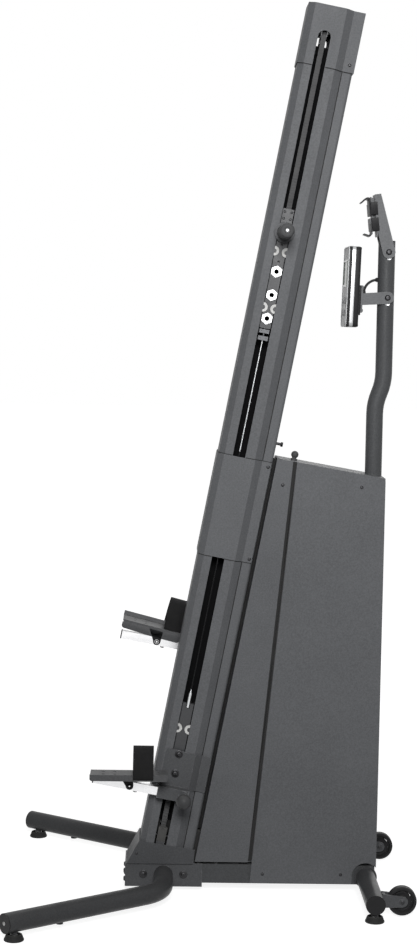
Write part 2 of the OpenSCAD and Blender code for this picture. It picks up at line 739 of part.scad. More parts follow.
module resistance_knob() color("#303030") translate([knob_x, 0, hsg_z(knob_x)])
    rotate([0, hsg_fall, 0]) {
        translate([0, 0, -20]) cylinder(r = 4, h = 24);
        translate([0, 0, seat]) cylinder(r = 9, h = 4);
        translate([0, 0, 4]) cylinder(r = 6, h = 6);
        translate([0, 0, 15]) sphere(r = 10);
        translate([0, 0, -12]) cylinder(r = 7, h = 5);
    }
module console_post() color("#4a4a4c") difference() {
    low = rail_z + rail_h + seat;
    union() {
        translate([post_x, 0, low]) linear_extrude(bend_low_z - low) tube_section(post_r);
        translate([post_up_x, 0, bend_high_z]) linear_extrude(post_top_z - bend_high_z)
            tube_section(post_r);
        // two equal arcs make the set-back
        translate([post_x + post_bend_r, 0, bend_low_z]) rotate([90, 0, 0])
            rotate([0, 0, 180]) bend(post_r, -post_bend, post_bend_r);
        translate([post_up_x - post_bend_r, 0, bend_high_z]) rotate([90, 0, 0])
            bend(post_r, -post_bend, post_bend_r);
    }
    translate([con_pivot_x, 0, con_pivot_z]) rod_y(4 + run_fit, -40, 40);
    translate([hold_pivot_x, 0, hold_pivot_z]) rod_y(4 + run_fit, -40, 40);
    // hole for the console lead
    translate([post_up_x, 0, lead_z]) rod_u(lead_r + 0.5, -post_r - 5, -5);
}
module frame_fasteners() color("#1a1a1a") {
    bracket_side = rail_half + seat + bracket_wall;
    both_sides() {
        for (s = [-1, 1]) translate([leg_x + s * leg_bolt_off, bracket_side, leg_bolt_z])
            head_y(bolt_head_r, bolt_head_h);
        for (z = [27, 49]) translate([bracket_x0, 32, z]) rotate([0, -90, 0]) button_head(7, 5);
        translate([panel_screws[0][0], hsg_half - 1, panel_screws[0][1]]) head_y(4.5, 2.5);
        for (p = [for (i = [1:3]) panel_screws[i]]) translate([p[0], hsg_half, p[1]]) head_y(4.5, 2.5);
        on_mast() {
            for (w = [mid_low + 9, mid_high - 13]) translate([136, rear_edge_y + seat + sheet, w])
                head_y(4.5, 2.5);
            translate([134, rear_edge_y + seat + sheet, cap_low + 19]) head_y(4.5, 2.5);
        }
        translate([-198, cover_half + 0.5 + sheet, 105.7]) head_y(4, 2);
    }
    on_mast() translate([0, 0, mid_high + stand_bolt_up]) {
        rod_u(4, spine_back, spine_back + 14);
        translate([spine_back + 14, 0, 0]) rotate([0, 90, 0]) cylinder(r = 7, h = 6, $fn = 6);
    }
    for (p = [[con_pivot_x, con_pivot_z], [hold_pivot_x, hold_pivot_z]]) translate([p[0], 0, p[1]]) {
        reach = arm_in + arm_t + seat;
        rod_y(4, -reach, reach);
        both_sides() translate([0, reach - 0.01, 0]) head_y(8, 4.5);
    }
}

// ---- Console ----
module at_console() translate([con_front_x, 0, con_low_z]) rotate([0, con_tilt, 0]) children();
module console_bezel() color("#b9bbbd") at_console() difference() {
    translate([bezel_d, 0, 0]) rotate([0, -90, 0]) linear_extrude(bezel_d)
        translate([0, -con_w / 2]) round_rect([con_h, con_w], 14);
    translate([5, 0, 0]) rotate([0, -90, 0])
        linear_extrude(6) translate([16, -con_w / 2 + 16]) round_rect([con_h - 32, con_w - 32], 8);
}
module console_back_shell() color("#1b1b1b") at_console() {
    c = 10;
    intersection() {
        translate([bezel_d + shell_d, 0, 0]) rotate([0, -90, 0]) linear_extrude(shell_d)
            translate([1, -con_w / 2 + 1]) round_rect([con_h - 2, con_w - 2], 13);
        along_y(-con_w, con_w) polygon([[bezel_d, 0], [bezel_d + shell_d - c, 1],
            [bezel_d + shell_d, c + 1], [bezel_d + shell_d, con_h - c - 1],
            [bezel_d + shell_d - c, con_h - 1], [bezel_d, con_h]]);
    }
}
module console_bracket() color("#5a5b5d") {
    both_sides() along_y(arm_in, arm_in + arm_t) difference() {
        union() {
            translate([con_pivot_x, con_pivot_z]) circle(16);
            polygon([[stay_x, con_pivot_z - 20], [con_pivot_x, con_pivot_z - 16],
                [con_pivot_x, con_pivot_z + 16], [stay_x, con_pivot_z + 11]]);
        }
        translate([con_pivot_x, con_pivot_z]) circle(4 + run_fit);
    }
    block([stay_x - 1.5, -arm_in - arm_t, con_pivot_z - 20], [stay_x + 1.5, arm_in + arm_t, con_pivot_z + 11]);
    // ledge under the lead
    block([stay_x, -9, con_pivot_z + 6], [stay_x + 12, 9, con_pivot_z + 11]);
    // mounting plate on the back of the console, with its two screws
    at_console() {
        back = bezel_d + shell_d;
        block([back + seat, -34, 40], [back + 5, 34, 112]);
        for (z = [46, 106], y = [-24, 24]) translate([back + 5, y, z]) rotate([0, 90, 0]) button_head(5, 3);
    }
}
module console_lead() color("#141414") {
    // short lead that leaves the post and drops onto the console's bracket
    translate([post_up_x - post_r, 0, con_pivot_z + 11 + seat]) rotate([90, 0, 0]) rotate([0, 0, 90])
        rotate_extrude(angle = 90) translate([lead_reach, 0]) circle(lead_r);
    translate([post_up_x - post_r - 0.1, 0, lead_z]) rod_u(lead_r, 0, 8);
}

// ---- Phone holder ----
module phone_holder_arm() color("#5c5d5f") {
    px = hold_pivot_x;
    pz = hold_pivot_z;
    both_sides() along_y(arm_in, arm_in + arm_t) difference() {
        union() {
            translate([px, pz]) circle(17);
            polygon([[px - 16.5, pz - 4], [px + 16.7, pz + 3], [px - 25, pz + 153], [px - 42, pz + 150.5],
                [px - 37, pz + 90], [px - 31, pz + 53]]);
        }
        translate([px, pz]) circle(4 + run_fit);
    }
    // web between the two arms, and the lower jaw on it
    along_y(-arm_in - 1, arm_in + 1) polygon([[px - 33, pz + 40], [px - 30, pz + 40],
        [px - 39, pz + 150], [px - 42, pz + 150]]);
    at_claw() {
        block([5.5, -20, 18], [8.5, 20, 106]);
        block([8.5, -12, 30], [16.8, 12, 104]);
        block([-1, -30, 17], [4, 30, 50]);
        block([3, -18, 20], [6, 18, 46]);
        along_y(-22, 22) polygon([[4, 17], [4, 9], [-4, 2], [-19, 9], [-18, 12], [-5, 6.5], [0, 11], [0, 17]]);
    }
}
module at_claw() translate([hold_pivot_x - 47, 0, hold_pivot_z + 38])
    rotate([0, -claw_lean, 0]) children();
module phone_holder_claw() color("#2b2b2b") {
    at_claw() {
        block([-1, -30, 56], [4, 30, 88]);
        block([3.9, -16, 58], [5.5 - seat, 16, 86]);
        along_y(-22, 22) polygon([[0, 88], [4, 88], [4, 101], [0, 106], [-6, 105], [-21, 94], [-19, 91],
            [-5, 101], [0, 99]]);
    }
}

// ---- Carriages ----
module notched_bar(low, high, rollers) difference() {
    translate([slot_u - plate_half, low]) square([2 * plate_half, high - low]);
    for (w = rollers, s = [-1, 1]) translate([slot_u + s * roller_off, w]) circle(roller_r + 0.8);
}
module ear_bar(low, high, rollers) {
    translate([slot_u - plate_half, low]) square([2 * plate_half, high - low]);
    for (w = rollers) translate([slot_u - ear_half, w - 12]) round_rect([2 * ear_half, 24], 5);
}
module roller_axles(rollers) for (w = rollers, s = [-1, 1])
    translate([slot_u + s * roller_off, 0, w]) {
        rod_y(axle_r, plate_mid - 1, roller_y + roller_len + 0.4);
        rod_y(axle_r + 1.5, roller_y + roller_len + 0.4, plate_front);
    }
// Two plates that pinch the end of the climbing belt
module belt_clamp(low, high) {
    block([slot_u - 12, belt_out + seat, low], [slot_u + 12, plate_back - run_fit, high]);
    block([slot_u - 12, belt_in - seat - 3, low], [slot_u + 12, belt_in - seat, high]);
    for (s = [-1, 1], w = [low + 7, high - 7])
        translate([slot_u + s * 9.6, 0, w]) rod_y(2.3, belt_in - seat - 1, plate_back - run_fit);
}
module trolley() {
    difference() {
        union() {
            along_y(plate_mid, plate_front) notched_bar(hand_low, clamp_low, upper_rollers);
            along_y(plate_back, plate_mid) ear_bar(hand_low, clamp_high, upper_rollers);
        }
        for (w = concat([hand_w], sockets)) translate([slot_u, 0, w])
            rod_y(socket_body_r + run_fit, plate_back - 1, plate_front + 1);
        for (w = [hand_w - 32, hand_w - 78]) translate([slot_u, 0, w]) rod_y(3.5, plate_mid, plate_front + 1);
        translate([slot_u, cable_y, hand_low - 1]) cylinder(r = 3 + run_fit, h = 9);
    }
    roller_axles(upper_rollers);
    belt_clamp(clamp_low, clamp_high);
    for (s = [-1, 1], w = [clamp_low + 8, clamp_high - 8])
        translate([slot_u + s * 9, plate_mid, w]) head_y(3.5, 3);
    difference() {
        union() {
            along_y(plate_mid, plate_front) notched_bar(foot_low, foot_high, lower_rollers);
            along_y(plate_back, plate_mid) ear_bar(foot_low, foot_high, lower_rollers);
        }
        translate([slot_u, cable_y, foot_high - 14]) cylinder(r = 5.2, h = 20);
        block([slot_u - 5.2, cable_y, foot_high - 14], [slot_u + 5.2, plate_front + 1, foot_high + 1]);
    }
    roller_axles(lower_rollers);
    belt_clamp(foot_low + 3, foot_low + 29);
}
module rollers() for (w = concat(upper_rollers, lower_rollers), s = [-1, 1])
    translate([slot_u + s * roller_off, 0, w]) difference() {
        rod_y(roller_r, roller_y, roller_y + roller_len);
        rod_y(axle_r + run_fit, roller_y - 1, roller_y + roller_len + 1);
        rod_y(roller_r - 4.5, roller_y + roller_len - 1.2, roller_y + roller_len + 1);
    }
module handle_sockets() for (w = sockets) translate([slot_u, 0, w]) difference() {
    union() {
        rod_y(socket_body_r, plate_back, plate_front + 0.1);
        translate([0, plate_front, 0]) rotate([-90, 0, 0]) rotate([0, 0, 30])
            cylinder(d = 27 / cos(30), h = 4.5, $fn = 6);
    }
    rod_y(socket_r, plate_back - 1, plate_front + 6);
}
module handgrip() translate([slot_u, 0, hand_w]) {
    face = cover_half + seat + sheet + 1.2;
    rod_y(socket_body_r, plate_back + 2, face + 1);
    rod_y(grip_flange_d / 2, face, face + 4);
    translate([0, face + 4, 0]) rotate([-90, 0, 0]) rotate_extrude() {
        square([grip_d / 2, grip_len - 6]);
        square([grip_d / 2 - 6, grip_len]);
        translate([grip_d / 2 - 6, grip_len - 6]) intersection() {
            circle(6);
            square(6);
        }
    }
}
module tie_cable() translate([slot_u, cable_y, 0]) {
    cylinder_low = foot_high - 12;
    // crimped end in the foot plate
    translate([0, 0, cylinder_low]) cylinder(r = 5, h = 40);
    translate([0, 0, cylinder_low + 40]) cylinder(r = 3.2, h = 4);
    translate([0, 0, cylinder_low + 43]) cylinder(d = cable_d, h = hand_low - 30 - cylinder_low - 43);
    // tensioner: two cross bars on a threaded stud
    translate([0, 0, hand_low - 32]) cylinder(r = 3, h = 39);
    difference() {
        union() {
            translate([-13, -5, hand_low - 13]) cube([26, 10, 10]);
            translate([-13, -5, hand_low - 32]) cube([26, 10, 11]);
        }
        for (s = [-1, 1], w = [hand_low - 8, hand_low - 27]) translate([s * 8.5, 2, w]) rod_y(2, 0, 5);
    }
}
module foot_bracket() {
    difference() {
        intersection() {
            union() {
                translate([0, 0, foot_w - 30]) linear_extrude(160) difference() {
                    ring(grow(mast_section, bracket_gap + bracket_t), grow(mast_section, bracket_gap));
                    translate([-20, -200]) square([300, 220]);
                    translate([bracket_rear, -1]) square([40, 100]);
                    translate([-20, -1]) square([20 + bracket_front, 100]);
                }
            }
            along_y(0, 120) {
                r = 10;
                top_l = bracket_high;
                top_r = bracket_high - 9;
                polygon([[bracket_front, foot_w - 14], [sleeve_rear + 3, foot_w - 14],
                    [sleeve_rear + 3, foot_w + 10], [bracket_rear, foot_w + 10], [bracket_rear, top_r],
                    [bracket_front + r, top_l], [bracket_front + 3, top_l - 3], [bracket_front, top_l - r]]);
            }
        }
    }
    for (h = bolt_rise) translate([slot_u + 1.5, 0, foot_w + h]) {
        rod_y(9, plate_front, cover_half + bracket_gap + 0.5);
        translate([0, bracket_out, 0]) head_y(bolt_head_r, bolt_head_h);
    }
    // square sleeve for the pedal tube
    inner = tube_side + 2 * seat;
    difference() {
        block([sleeve_front, bracket_out, foot_w - sleeve_side / 2],
            [sleeve_rear, bracket_out + sleeve_side, foot_w + sleeve_side / 2]);
        block([sleeve_front - 1, sleeve_y - inner / 2, foot_w - inner / 2],
            [sleeve_rear - 3, sleeve_y + inner / 2, foot_w + inner / 2]);
        translate([knob_u, 0, foot_w]) rod_y(knob_pin_r + run_fit, sleeve_y, bracket_out + sleeve_side + 1);
    }
    translate([knob_u, bracket_out + sleeve_side, foot_w]) difference() {
        union() {
            rod_y(14, 0, 6);
            rod_y(10, 0, collar_h);
        }
        rod_y(knob_pin_r + run_fit, -9, collar_h + 1);
    }
}
module pull_knob() translate([knob_u, 0, foot_w]) {
    outer = bracket_out + sleeve_side + collar_h;
    rod_y(knob_pin_r, sleeve_y + tube_side / 2 + seat, outer + 8);
    rod_y(11, outer + seat, outer + 12);
    translate([0, outer + 8 + knob_ball_r, 0]) sphere(r = knob_ball_r);
}
module pedal_tube() {
    half = tube_side / 2;
    difference() {
        block([tube_front, sleeve_y - half, foot_w - half], [tube_rear, sleeve_y + half, foot_w + half]);
        block([tube_front - 1, sleeve_y - half + tube_wall, foot_w - half + tube_wall],
            [tube_rear + 1, sleeve_y + half - tube_wall, foot_w + half - tube_wall]);
    }
    // pivot pin with a screw head at each end, and the stop screw below
    translate([pivot_u, 0, foot_w]) {
        rod_y(pin_r, ear_in - 0.6, ear_out + ear_t + 0.6);
        translate([0, ear_out + ear_t + seat, 0]) head_y(6, 3);
        translate([0, ear_in - seat - 3, 0]) rod_y(6, 0, 3);
    }
    translate([pivot_u + 17, sleeve_y, foot_w - half - 4]) cylinder(r = 5, h = 4);
}
// World frame about the pivot, for pieces of a pedal on the left side
module at_pivot(side) {
    w = foot_w + (side == "left" ? rest_gap : 0);
    x = mast_foot_x + pivot_u * cos(mast_lean) + w * sin(mast_lean);
    z = w * cos(mast_lean) - pivot_u * sin(mast_lean);
    translate([x, 0, z]) {
        if (side == "left") rotate([0, left_tilt, 0]) children();
        else mirror([0, 1, 0]) children();
    }
}
module pedal() {
    difference() {
        intersection() {
            translate([pedal_back, 0, 0]) rotate([90, 0, 90]) linear_extrude(pedal_len)
                polygon([[pedal_edge, tread_h - flange_drop], [pedal_edge, tread_h],
                    [pedal_rim - 11, tread_h], [pedal_rim - 7, tread_h + rim_h],
                    [pedal_rim, tread_h + rim_h], [pedal_rim, tread_h - flange_drop],
                    [pedal_rim - pedal_t, tread_h - flange_drop],
                    [pedal_rim - pedal_t, tread_h + rim_h - pedal_t],
                    [pedal_rim - 5.3, tread_h + rim_h - pedal_t],
                    [pedal_rim - 9.3, tread_h - pedal_t], [pedal_edge + pedal_t, tread_h - pedal_t],
                    [pedal_edge + pedal_t, tread_h - flange_drop]]);
            // ends of the side flanges are rounded off below
            along_y(0, 300) translate([pedal_back, tread_h - flange_drop])
                round_rect([pedal_len, 60], 6);
        }
        for (x = [-70, -40, 75]) translate([x, 0, 0]) for (y = [95, 125, 155])
            translate([0, y, 0]) cylinder(r = 4, h = 80);
    }
    for (y = [ear_in, ear_out]) along_y(y, y + ear_t) difference() {
        union() {
            circle(10);
            polygon([[-32, tread_h - pedal_t / 2], [10, tread_h - pedal_t / 2], [10, 0], [-5, -8.6]]);
        }
        circle(pin_r + run_fit);
    }
}
module foot_strap() translate([strap_x + strap_w, 0, 0]) rotate([90, 0, -90])
    mirror([1, 0, 0]) linear_extrude(strap_w) {
        y0 = pedal_edge + 4;
        y1 = pedal_rim + seat + strap_t;
        r = (y1 - y0) / 2;
        difference() {
            union() {
                translate([(y0 + y1) / 2, strap_h - r]) circle(r);
                translate([y0, tread_h + seat]) square([2 * r, strap_h - r - tread_h - seat]);
                translate([y1 - r, tread_h - 4]) square([r, 10]);
            }
            translate([(y0 + y1) / 2, strap_h - r]) circle(r - strap_t);
            translate([y0 + strap_t, 0]) square([2 * r - 2 * strap_t, strap_h - r]);
        }
    }

module right_trolley() color("#808284") on_track("right") trolley();
module left_trolley() color("#808284") on_track("left") trolley();
module right_rollers() color("#d8d8d8") on_track("right") rollers();
module left_rollers() color("#d8d8d8") on_track("left") rollers();
module right_handle_sockets() color("#eeeeee") on_track("right") handle_sockets();
module left_handle_sockets() color("#eeeeee") on_track("left") handle_sockets();
module right_handgrip() color("#2f2f2f") on_track("right") handgrip();
module left_handgrip() color("#2f2f2f") on_track("left") handgrip();
module right_tie_cable() color("#dddddd") on_track("right") tie_cable();
module left_tie_cable() color("#dddddd") on_track("left") tie_cable();
module right_foot_bracket() color("#55565a") on_track("right") foot_bracket();
module left_foot_bracket() color("#55565a") on_track("left") foot_bracket();
module right_pull_knob() color("#3c3d3e") on_track("right") pull_knob();
module left_pull_knob() color("#3c3d3e") on_track("left") pull_knob();
module right_pedal_tube() color("#e2e2e2") on_track("right") pedal_tube();
module left_pedal_tube() color("#e2e2e2") on_track("left") pedal_tube();
module right_pedal() color("#5a5a5a") at_pivot("right") pedal();
module left_pedal() color("#5a5a5a") at_pivot("left") pedal();
module right_foot_strap() color("#151515") at_pivot("right") foot_strap();
module left_foot_strap() color("#151515") at_pivot("left") foot_strap();

base_rail();
front_leg_bracket();
front_legs();
rear_crossbar();
tube_end_caps();
levelling_feet();
wheel_forks();
right_transport_wheel();
left_transport_wheel();
mast_spine();
mast_core();
right_track_cover();
left_track_cover();
mast_cap();
mid_cover();
mast_foot_shroud();
pulley_mounts();
slot_bumpers();
top_pulley();
bottom_pulley();
upper_belt();
lower_belt();
flywheel();
drive_belt();
brake_frame();
housing_right_panel();
housing_left_panel();
housing_front_panel();
housing_rear_cover();
frame_fasteners();
resistance_knob();
console_post();
console_bracket();
console_back_shell();
console_bezel();
console_lead();
phone_holder_arm();
phone_holder_claw();
right_trolley();
left_trolley();
right_rollers();
left_rollers();
right_handle_sockets();
left_handle_sockets();
right_handgrip();
left_handgrip();
right_tie_cable();
left_tie_cable();
right_foot_bracket();
left_foot_bracket();
right_pull_knob();
left_pull_knob();
right_pedal_tube();
left_pedal_tube();
right_pedal();
left_pedal();
right_foot_strap();
left_foot_strap();
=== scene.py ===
import bpy
import bmesh
import json
import math
from mathutils import Matrix, Vector


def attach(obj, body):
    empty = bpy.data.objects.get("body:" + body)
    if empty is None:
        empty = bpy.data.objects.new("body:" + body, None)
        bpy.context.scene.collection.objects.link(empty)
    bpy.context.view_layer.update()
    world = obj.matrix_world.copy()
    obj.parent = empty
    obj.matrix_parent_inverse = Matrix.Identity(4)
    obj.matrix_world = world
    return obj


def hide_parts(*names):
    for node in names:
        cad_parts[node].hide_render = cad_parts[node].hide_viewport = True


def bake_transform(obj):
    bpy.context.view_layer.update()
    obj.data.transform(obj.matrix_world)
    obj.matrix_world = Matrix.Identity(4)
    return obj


# Vertical climber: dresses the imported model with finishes, webbing, belts, grips and small parts.

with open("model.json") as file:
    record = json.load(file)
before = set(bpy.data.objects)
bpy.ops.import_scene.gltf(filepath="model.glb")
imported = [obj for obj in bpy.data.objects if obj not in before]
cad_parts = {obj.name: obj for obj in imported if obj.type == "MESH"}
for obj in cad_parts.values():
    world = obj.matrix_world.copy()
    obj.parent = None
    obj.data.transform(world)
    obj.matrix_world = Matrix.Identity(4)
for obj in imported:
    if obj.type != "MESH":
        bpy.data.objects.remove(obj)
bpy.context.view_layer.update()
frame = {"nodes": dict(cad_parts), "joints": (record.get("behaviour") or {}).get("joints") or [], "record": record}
joints = {j["name"]: j for j in frame["joints"]}
print("loaded", len(frame["nodes"]), "nodes")

# the mast's own directions: across it, sideways and along it
mastAlong = Vector(joints["right_carriage_slide"]["axis"]).normalized()
mastAcross = Vector(joints["top_pulley_spin"]["axis"]).normalized()
topPulleyAt = Vector(joints["top_pulley_spin"]["pos_m"])
lowPulleyAt = Vector(joints["bottom_pulley_spin"]["pos_m"])
sideways = Vector((0, 1, 0))

# how far the left carriage stands above the right one, and how far its pedal is tipped, in degrees
stagger = 0.365
leftPedalTilt = 14.2
sides = (("right", -1, 0.0), ("left", 1, stagger))  # name, way along Y, height of the carriage


# small helpers

def clearSelection():
    if bpy.context.object and bpy.context.object.mode != "OBJECT":
        bpy.ops.object.mode_set(mode="OBJECT")
    bpy.ops.object.select_all(action="DESELECT")


def makeActive(piece):
    clearSelection()
    piece.select_set(True)
    bpy.context.view_layer.objects.active = piece


def settle(piece):
    # place, turn and size go into the mesh
    makeActive(piece)
    bpy.ops.object.transform_apply(location=True, rotation=True, scale=True)
    return piece


def finishPiece(piece, name, body, finish, replaced=None, smooth=35):
    piece.name = name
    piece.data.name = name
    piece.data.materials.clear()
    piece.data.materials.append(finishes[finish])
    settle(piece)
    bpy.ops.object.shade_smooth_by_angle(angle=math.radians(smooth))
    if body:
        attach(piece, body)
    if replaced:
        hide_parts(replaced)
    return piece


def editMode(piece):
    makeActive(piece)
    bpy.ops.object.mode_set(mode="EDIT")


def objectMode():
    bpy.ops.object.mode_set(mode="OBJECT")


def applyModifier(piece, kind, **values):
    makeActive(piece)
    modifier = piece.modifiers.new(kind.title(), kind)
    for key, value in values.items():
        setattr(modifier, key, value)
    bpy.ops.object.modifier_apply(modifier=modifier.name)
    return piece


def joinPieces(pieces):
    clearSelection()
    for piece in pieces:
        piece.select_set(True)
    bpy.context.view_layer.objects.active = pieces[0]
    bpy.ops.object.join()
    return pieces[0]


# camera, light and floor

view = {
    "eye": (-0.156, -5.3, 1.5286),
    "turn": (85.643, -1.061, -1.3636),
    "lens": 75.81,
    "sensor": 36.0,
}
bpy.ops.object.camera_add(location=view["eye"], rotation=[math.radians(a) for a in view["turn"]])
camera = bpy.context.object
camera.data.lens = view["lens"]
camera.data.sensor_width = view["sensor"]
camera.data.sensor_fit = "AUTO"
bpy.context.scene.camera = camera

studio = {
    "ambient": 0.035,
    "lamps": [  # name, place, aim, size, spread in degrees, power
        ("keyLamp", (0.05, -4.9, 3.0), (0.1, 0, 1.75), 1.6, 86, 62),
        ("fillLamp", (3.6, -3.0, 2.6), (0.1, 0, 1.2), 2.4, 180, 2),
        ("topLamp", (0.2, 0.2, 5.2), (0, 0, 0.5), 2.6, 180, 14),
        ("backLamp", (1.5, 4.2, 3.4), (0, 0, 1.2), 2.2, 180, 38),
    ],
    "floorSize": 60.0, "floorShade": 0.5,
    "glowNear": 0.87, "glowFar": 1.0, "glowFrom": 0.9, "glowTo": 4.0,
}


def addLamp(name, at, aim, size, spread, power):
    bpy.ops.object.light_add(type="AREA", location=at)
    lamp = bpy.context.object
    lamp.name = name
    lamp.data.shape = "SQUARE"
    lamp.data.size = size
    lamp.data.energy = power
    lamp.data.spread = math.radians(spread)
    lamp.rotation_euler = (Vector(aim) - Vector(at)).to_track_quat("-Z", "Y").to_euler()


for lampRow in studio["lamps"]:
    addLamp(*lampRow)


def addNode(tree, kind, values=None, **sockets):
    node = tree.nodes.new(kind)
    for key, value in (values or {}).items():
        setattr(node, key, value)
    for key, value in sockets.items():
        node.inputs[key.replace("_", " ")].default_value = value
    return node


def buildWorld(ambient):
    world = bpy.context.scene.world or bpy.data.worlds.new("studioAir")
    bpy.context.scene.world = world
    world.use_nodes = True
    tree = world.node_tree
    tree.nodes.clear()
    out = addNode(tree, "ShaderNodeOutputWorld")
    path = addNode(tree, "ShaderNodeLightPath")
    seen = addNode(tree, "ShaderNodeMath", {"operation": "MAXIMUM"})
    seenThrough = addNode(tree, "ShaderNodeMath", {"operation": "MAXIMUM"})
    plain = addNode(tree, "ShaderNodeBackground", Color=(1, 1, 1, 1), Strength=ambient)
    white = addNode(tree, "ShaderNodeBackground", Color=(1, 1, 1, 1), Strength=1.0)
    mix = addNode(tree, "ShaderNodeMixShader")
    tree.links.new(path.outputs["Is Camera Ray"], seen.inputs[0])
    tree.links.new(path.outputs["Is Glossy Ray"], seen.inputs[1])
    tree.links.new(seen.outputs[0], seenThrough.inputs[0])
    tree.links.new(path.outputs["Is Transmission Ray"], seenThrough.inputs[1])
    tree.links.new(seenThrough.outputs[0], mix.inputs["Fac"])
    tree.links.new(plain.outputs[0], mix.inputs[1])
    tree.links.new(white.outputs[0], mix.inputs[2])
    tree.links.new(mix.outputs[0], out.inputs["Surface"])


buildWorld(studio["ambient"])


def floorMaterial():
    # a mid-toned floor that takes the shadow, with a glow for what looks at it, so that it ends white
    material = bpy.data.materials.new("paleFloor")
    material.use_nodes = True
    tree = material.node_tree
    tree.nodes.clear()
    out = addNode(tree, "ShaderNodeOutputMaterial")
    coords = addNode(tree, "ShaderNodeTexCoord")
    cloud = addNode(tree, "ShaderNodeTexNoise", Scale=3.0, Detail=4.0)
    tint = addNode(tree, "ShaderNodeMapRange")
    tint.inputs["To Min"].default_value = studio["floorShade"] - 0.01
    tint.inputs["To Max"].default_value = studio["floorShade"] + 0.01
    paint = addNode(tree, "ShaderNodeBsdfDiffuse")
    reach = addNode(tree, "ShaderNodeVectorMath", {"operation": "LENGTH"})
    rise = addNode(tree, "ShaderNodeMapRange", {"interpolation_type": "SMOOTHSTEP"})
    for label, key in (("From Min", "glowFrom"), ("From Max", "glowTo"),
                       ("To Min", "glowNear"), ("To Max", "glowFar")):
        rise.inputs[label].default_value = studio[key]
    glow = addNode(tree, "ShaderNodeEmission", Color=(1, 1, 1, 1))
    path = addNode(tree, "ShaderNodeLightPath")
    both = addNode(tree, "ShaderNodeMath", {"operation": "MAXIMUM"})
    none = addNode(tree, "ShaderNodeEmission", Strength=0.0)
    pick = addNode(tree, "ShaderNodeMixShader")
    total = addNode(tree, "ShaderNodeAddShader")
    link = tree.links.new
    link(coords.outputs["Object"], cloud.inputs["Vector"])
    link(cloud.outputs["Fac"], tint.inputs["Value"])
    link(tint.outputs["Result"], paint.inputs["Color"])
    link(coords.outputs["Object"], reach.inputs[0])
    link(reach.outputs["Value"], rise.inputs["Value"])
    link(rise.outputs["Result"], glow.inputs["Strength"])
    link(path.outputs["Is Camera Ray"], both.inputs[0])
    link(path.outputs["Is Glossy Ray"], both.inputs[1])
    link(both.outputs[0], pick.inputs["Fac"])
    link(none.outputs[0], pick.inputs[1])
    link(glow.outputs[0], pick.inputs[2])
    link(paint.outputs[0], total.inputs[0])
    link(pick.outputs[0], total.inputs[1])
    link(total.outputs[0], out.inputs["Surface"])
    return material


clearSelection()
bpy.ops.mesh.primitive_plane_add(size=studio["floorSize"], location=(0, 0, 0))
floor = bpy.context.object
floor.name = "studioFloor"
floor.data.materials.append(floorMaterial())
settle(floor)
bpy.context.scene.view_settings.view_transform = "Standard"
print("camera, lamps and floor set")


# shared surface effects, as node groups

def newGroup(name, inputs, outputs):
    group = bpy.data.node_groups.new(name, "ShaderNodeTree")
    for label, kind, value in inputs:
        socket = group.interface.new_socket(label, in_out="INPUT", socket_type=kind)
        socket.default_value = value
    for label, kind in outputs:
        group.interface.new_socket(label, in_out="OUTPUT", socket_type=kind)
    return group, addNode(group, "NodeGroupInput"), addNode(group, "NodeGroupOutput")


def chain(tree, *steps):
    # joins each output to its input
    for source, target in steps:
        tree.links.new(source, target)


def mathNode(tree, operation, first, second=None, clamp=False):
    node = addNode(tree, "ShaderNodeMath", {"operation": operation, "use_clamp": clamp})
    for index, value in enumerate((first, second)):
        if value is None:
            continue
        if isinstance(value, (int, float)):
            node.inputs[index].default_value = value
        else:
            tree.links.new(value, node.inputs[index])
    return node.outputs[0]


def multiply(tree, first, second, clamp=False):
    return mathNode(tree, "MULTIPLY", first, second, clamp)


def rangeNode(tree, value, fromMin, fromMax, toMin, toMax):
    node = addNode(tree, "ShaderNodeMapRange")
    for label, number in (("From Min", fromMin), ("From Max", fromMax), ("To Min", toMin), ("To Max", toMax)):
        node.inputs[label].default_value = number
    tree.links.new(value, node.inputs["Value"])
    return node.outputs["Result"]


def fromObject(tree, *sockets):
    coords = addNode(tree, "ShaderNodeTexCoord")
    for socket in sockets:
        tree.links.new(coords.outputs["Object"], socket)


def buildOrangePeel():
    # pebbled skin of a sprayed and baked coat
    group, given, result = newGroup(
        "orangePeel",
        [("Scale", "NodeSocketFloat", 900.0), ("Coarse", "NodeSocketFloat", 0.35)],
        [("Height", "NodeSocketFloat"), ("Mottle", "NodeSocketFloat"), ("Speckle", "NodeSocketFloat")],
    )
    specks = addNode(group, "ShaderNodeTexNoise", Scale=260.0, Detail=3.0, Roughness=0.8)
    fine = addNode(group, "ShaderNodeTexNoise", Detail=2.0, Roughness=0.5)
    cells = addNode(group, "ShaderNodeTexVoronoi", {"feature": "SMOOTH_F1"}, Smoothness=0.8)
    cloud = addNode(group, "ShaderNodeTexNoise", Scale=5.0, Detail=5.0, Roughness=0.6)
    cellScale = multiply(group, given.outputs["Scale"], 0.45)
    fromObject(group, *(node.inputs["Vector"] for node in (fine, cells, cloud, specks)))
    chain(
        group,
        (rangeNode(group, specks.outputs["Fac"], 0.34, 0.66, 0.0, 1.0), result.inputs["Speckle"]),
        (given.outputs["Scale"], fine.inputs["Scale"]),
        (cellScale, cells.inputs["Scale"]),
    )
    coarse = multiply(group, cells.outputs["Distance"], given.outputs["Coarse"])
    height = mathNode(group, "SUBTRACT", fine.outputs["Fac"], coarse)
    chain(
        group,
        (height, result.inputs["Height"]),
        (rangeNode(group, cloud.outputs["Fac"], 0.3, 0.7, 0.0, 1.0), result.inputs["Mottle"]),
    )
    return group


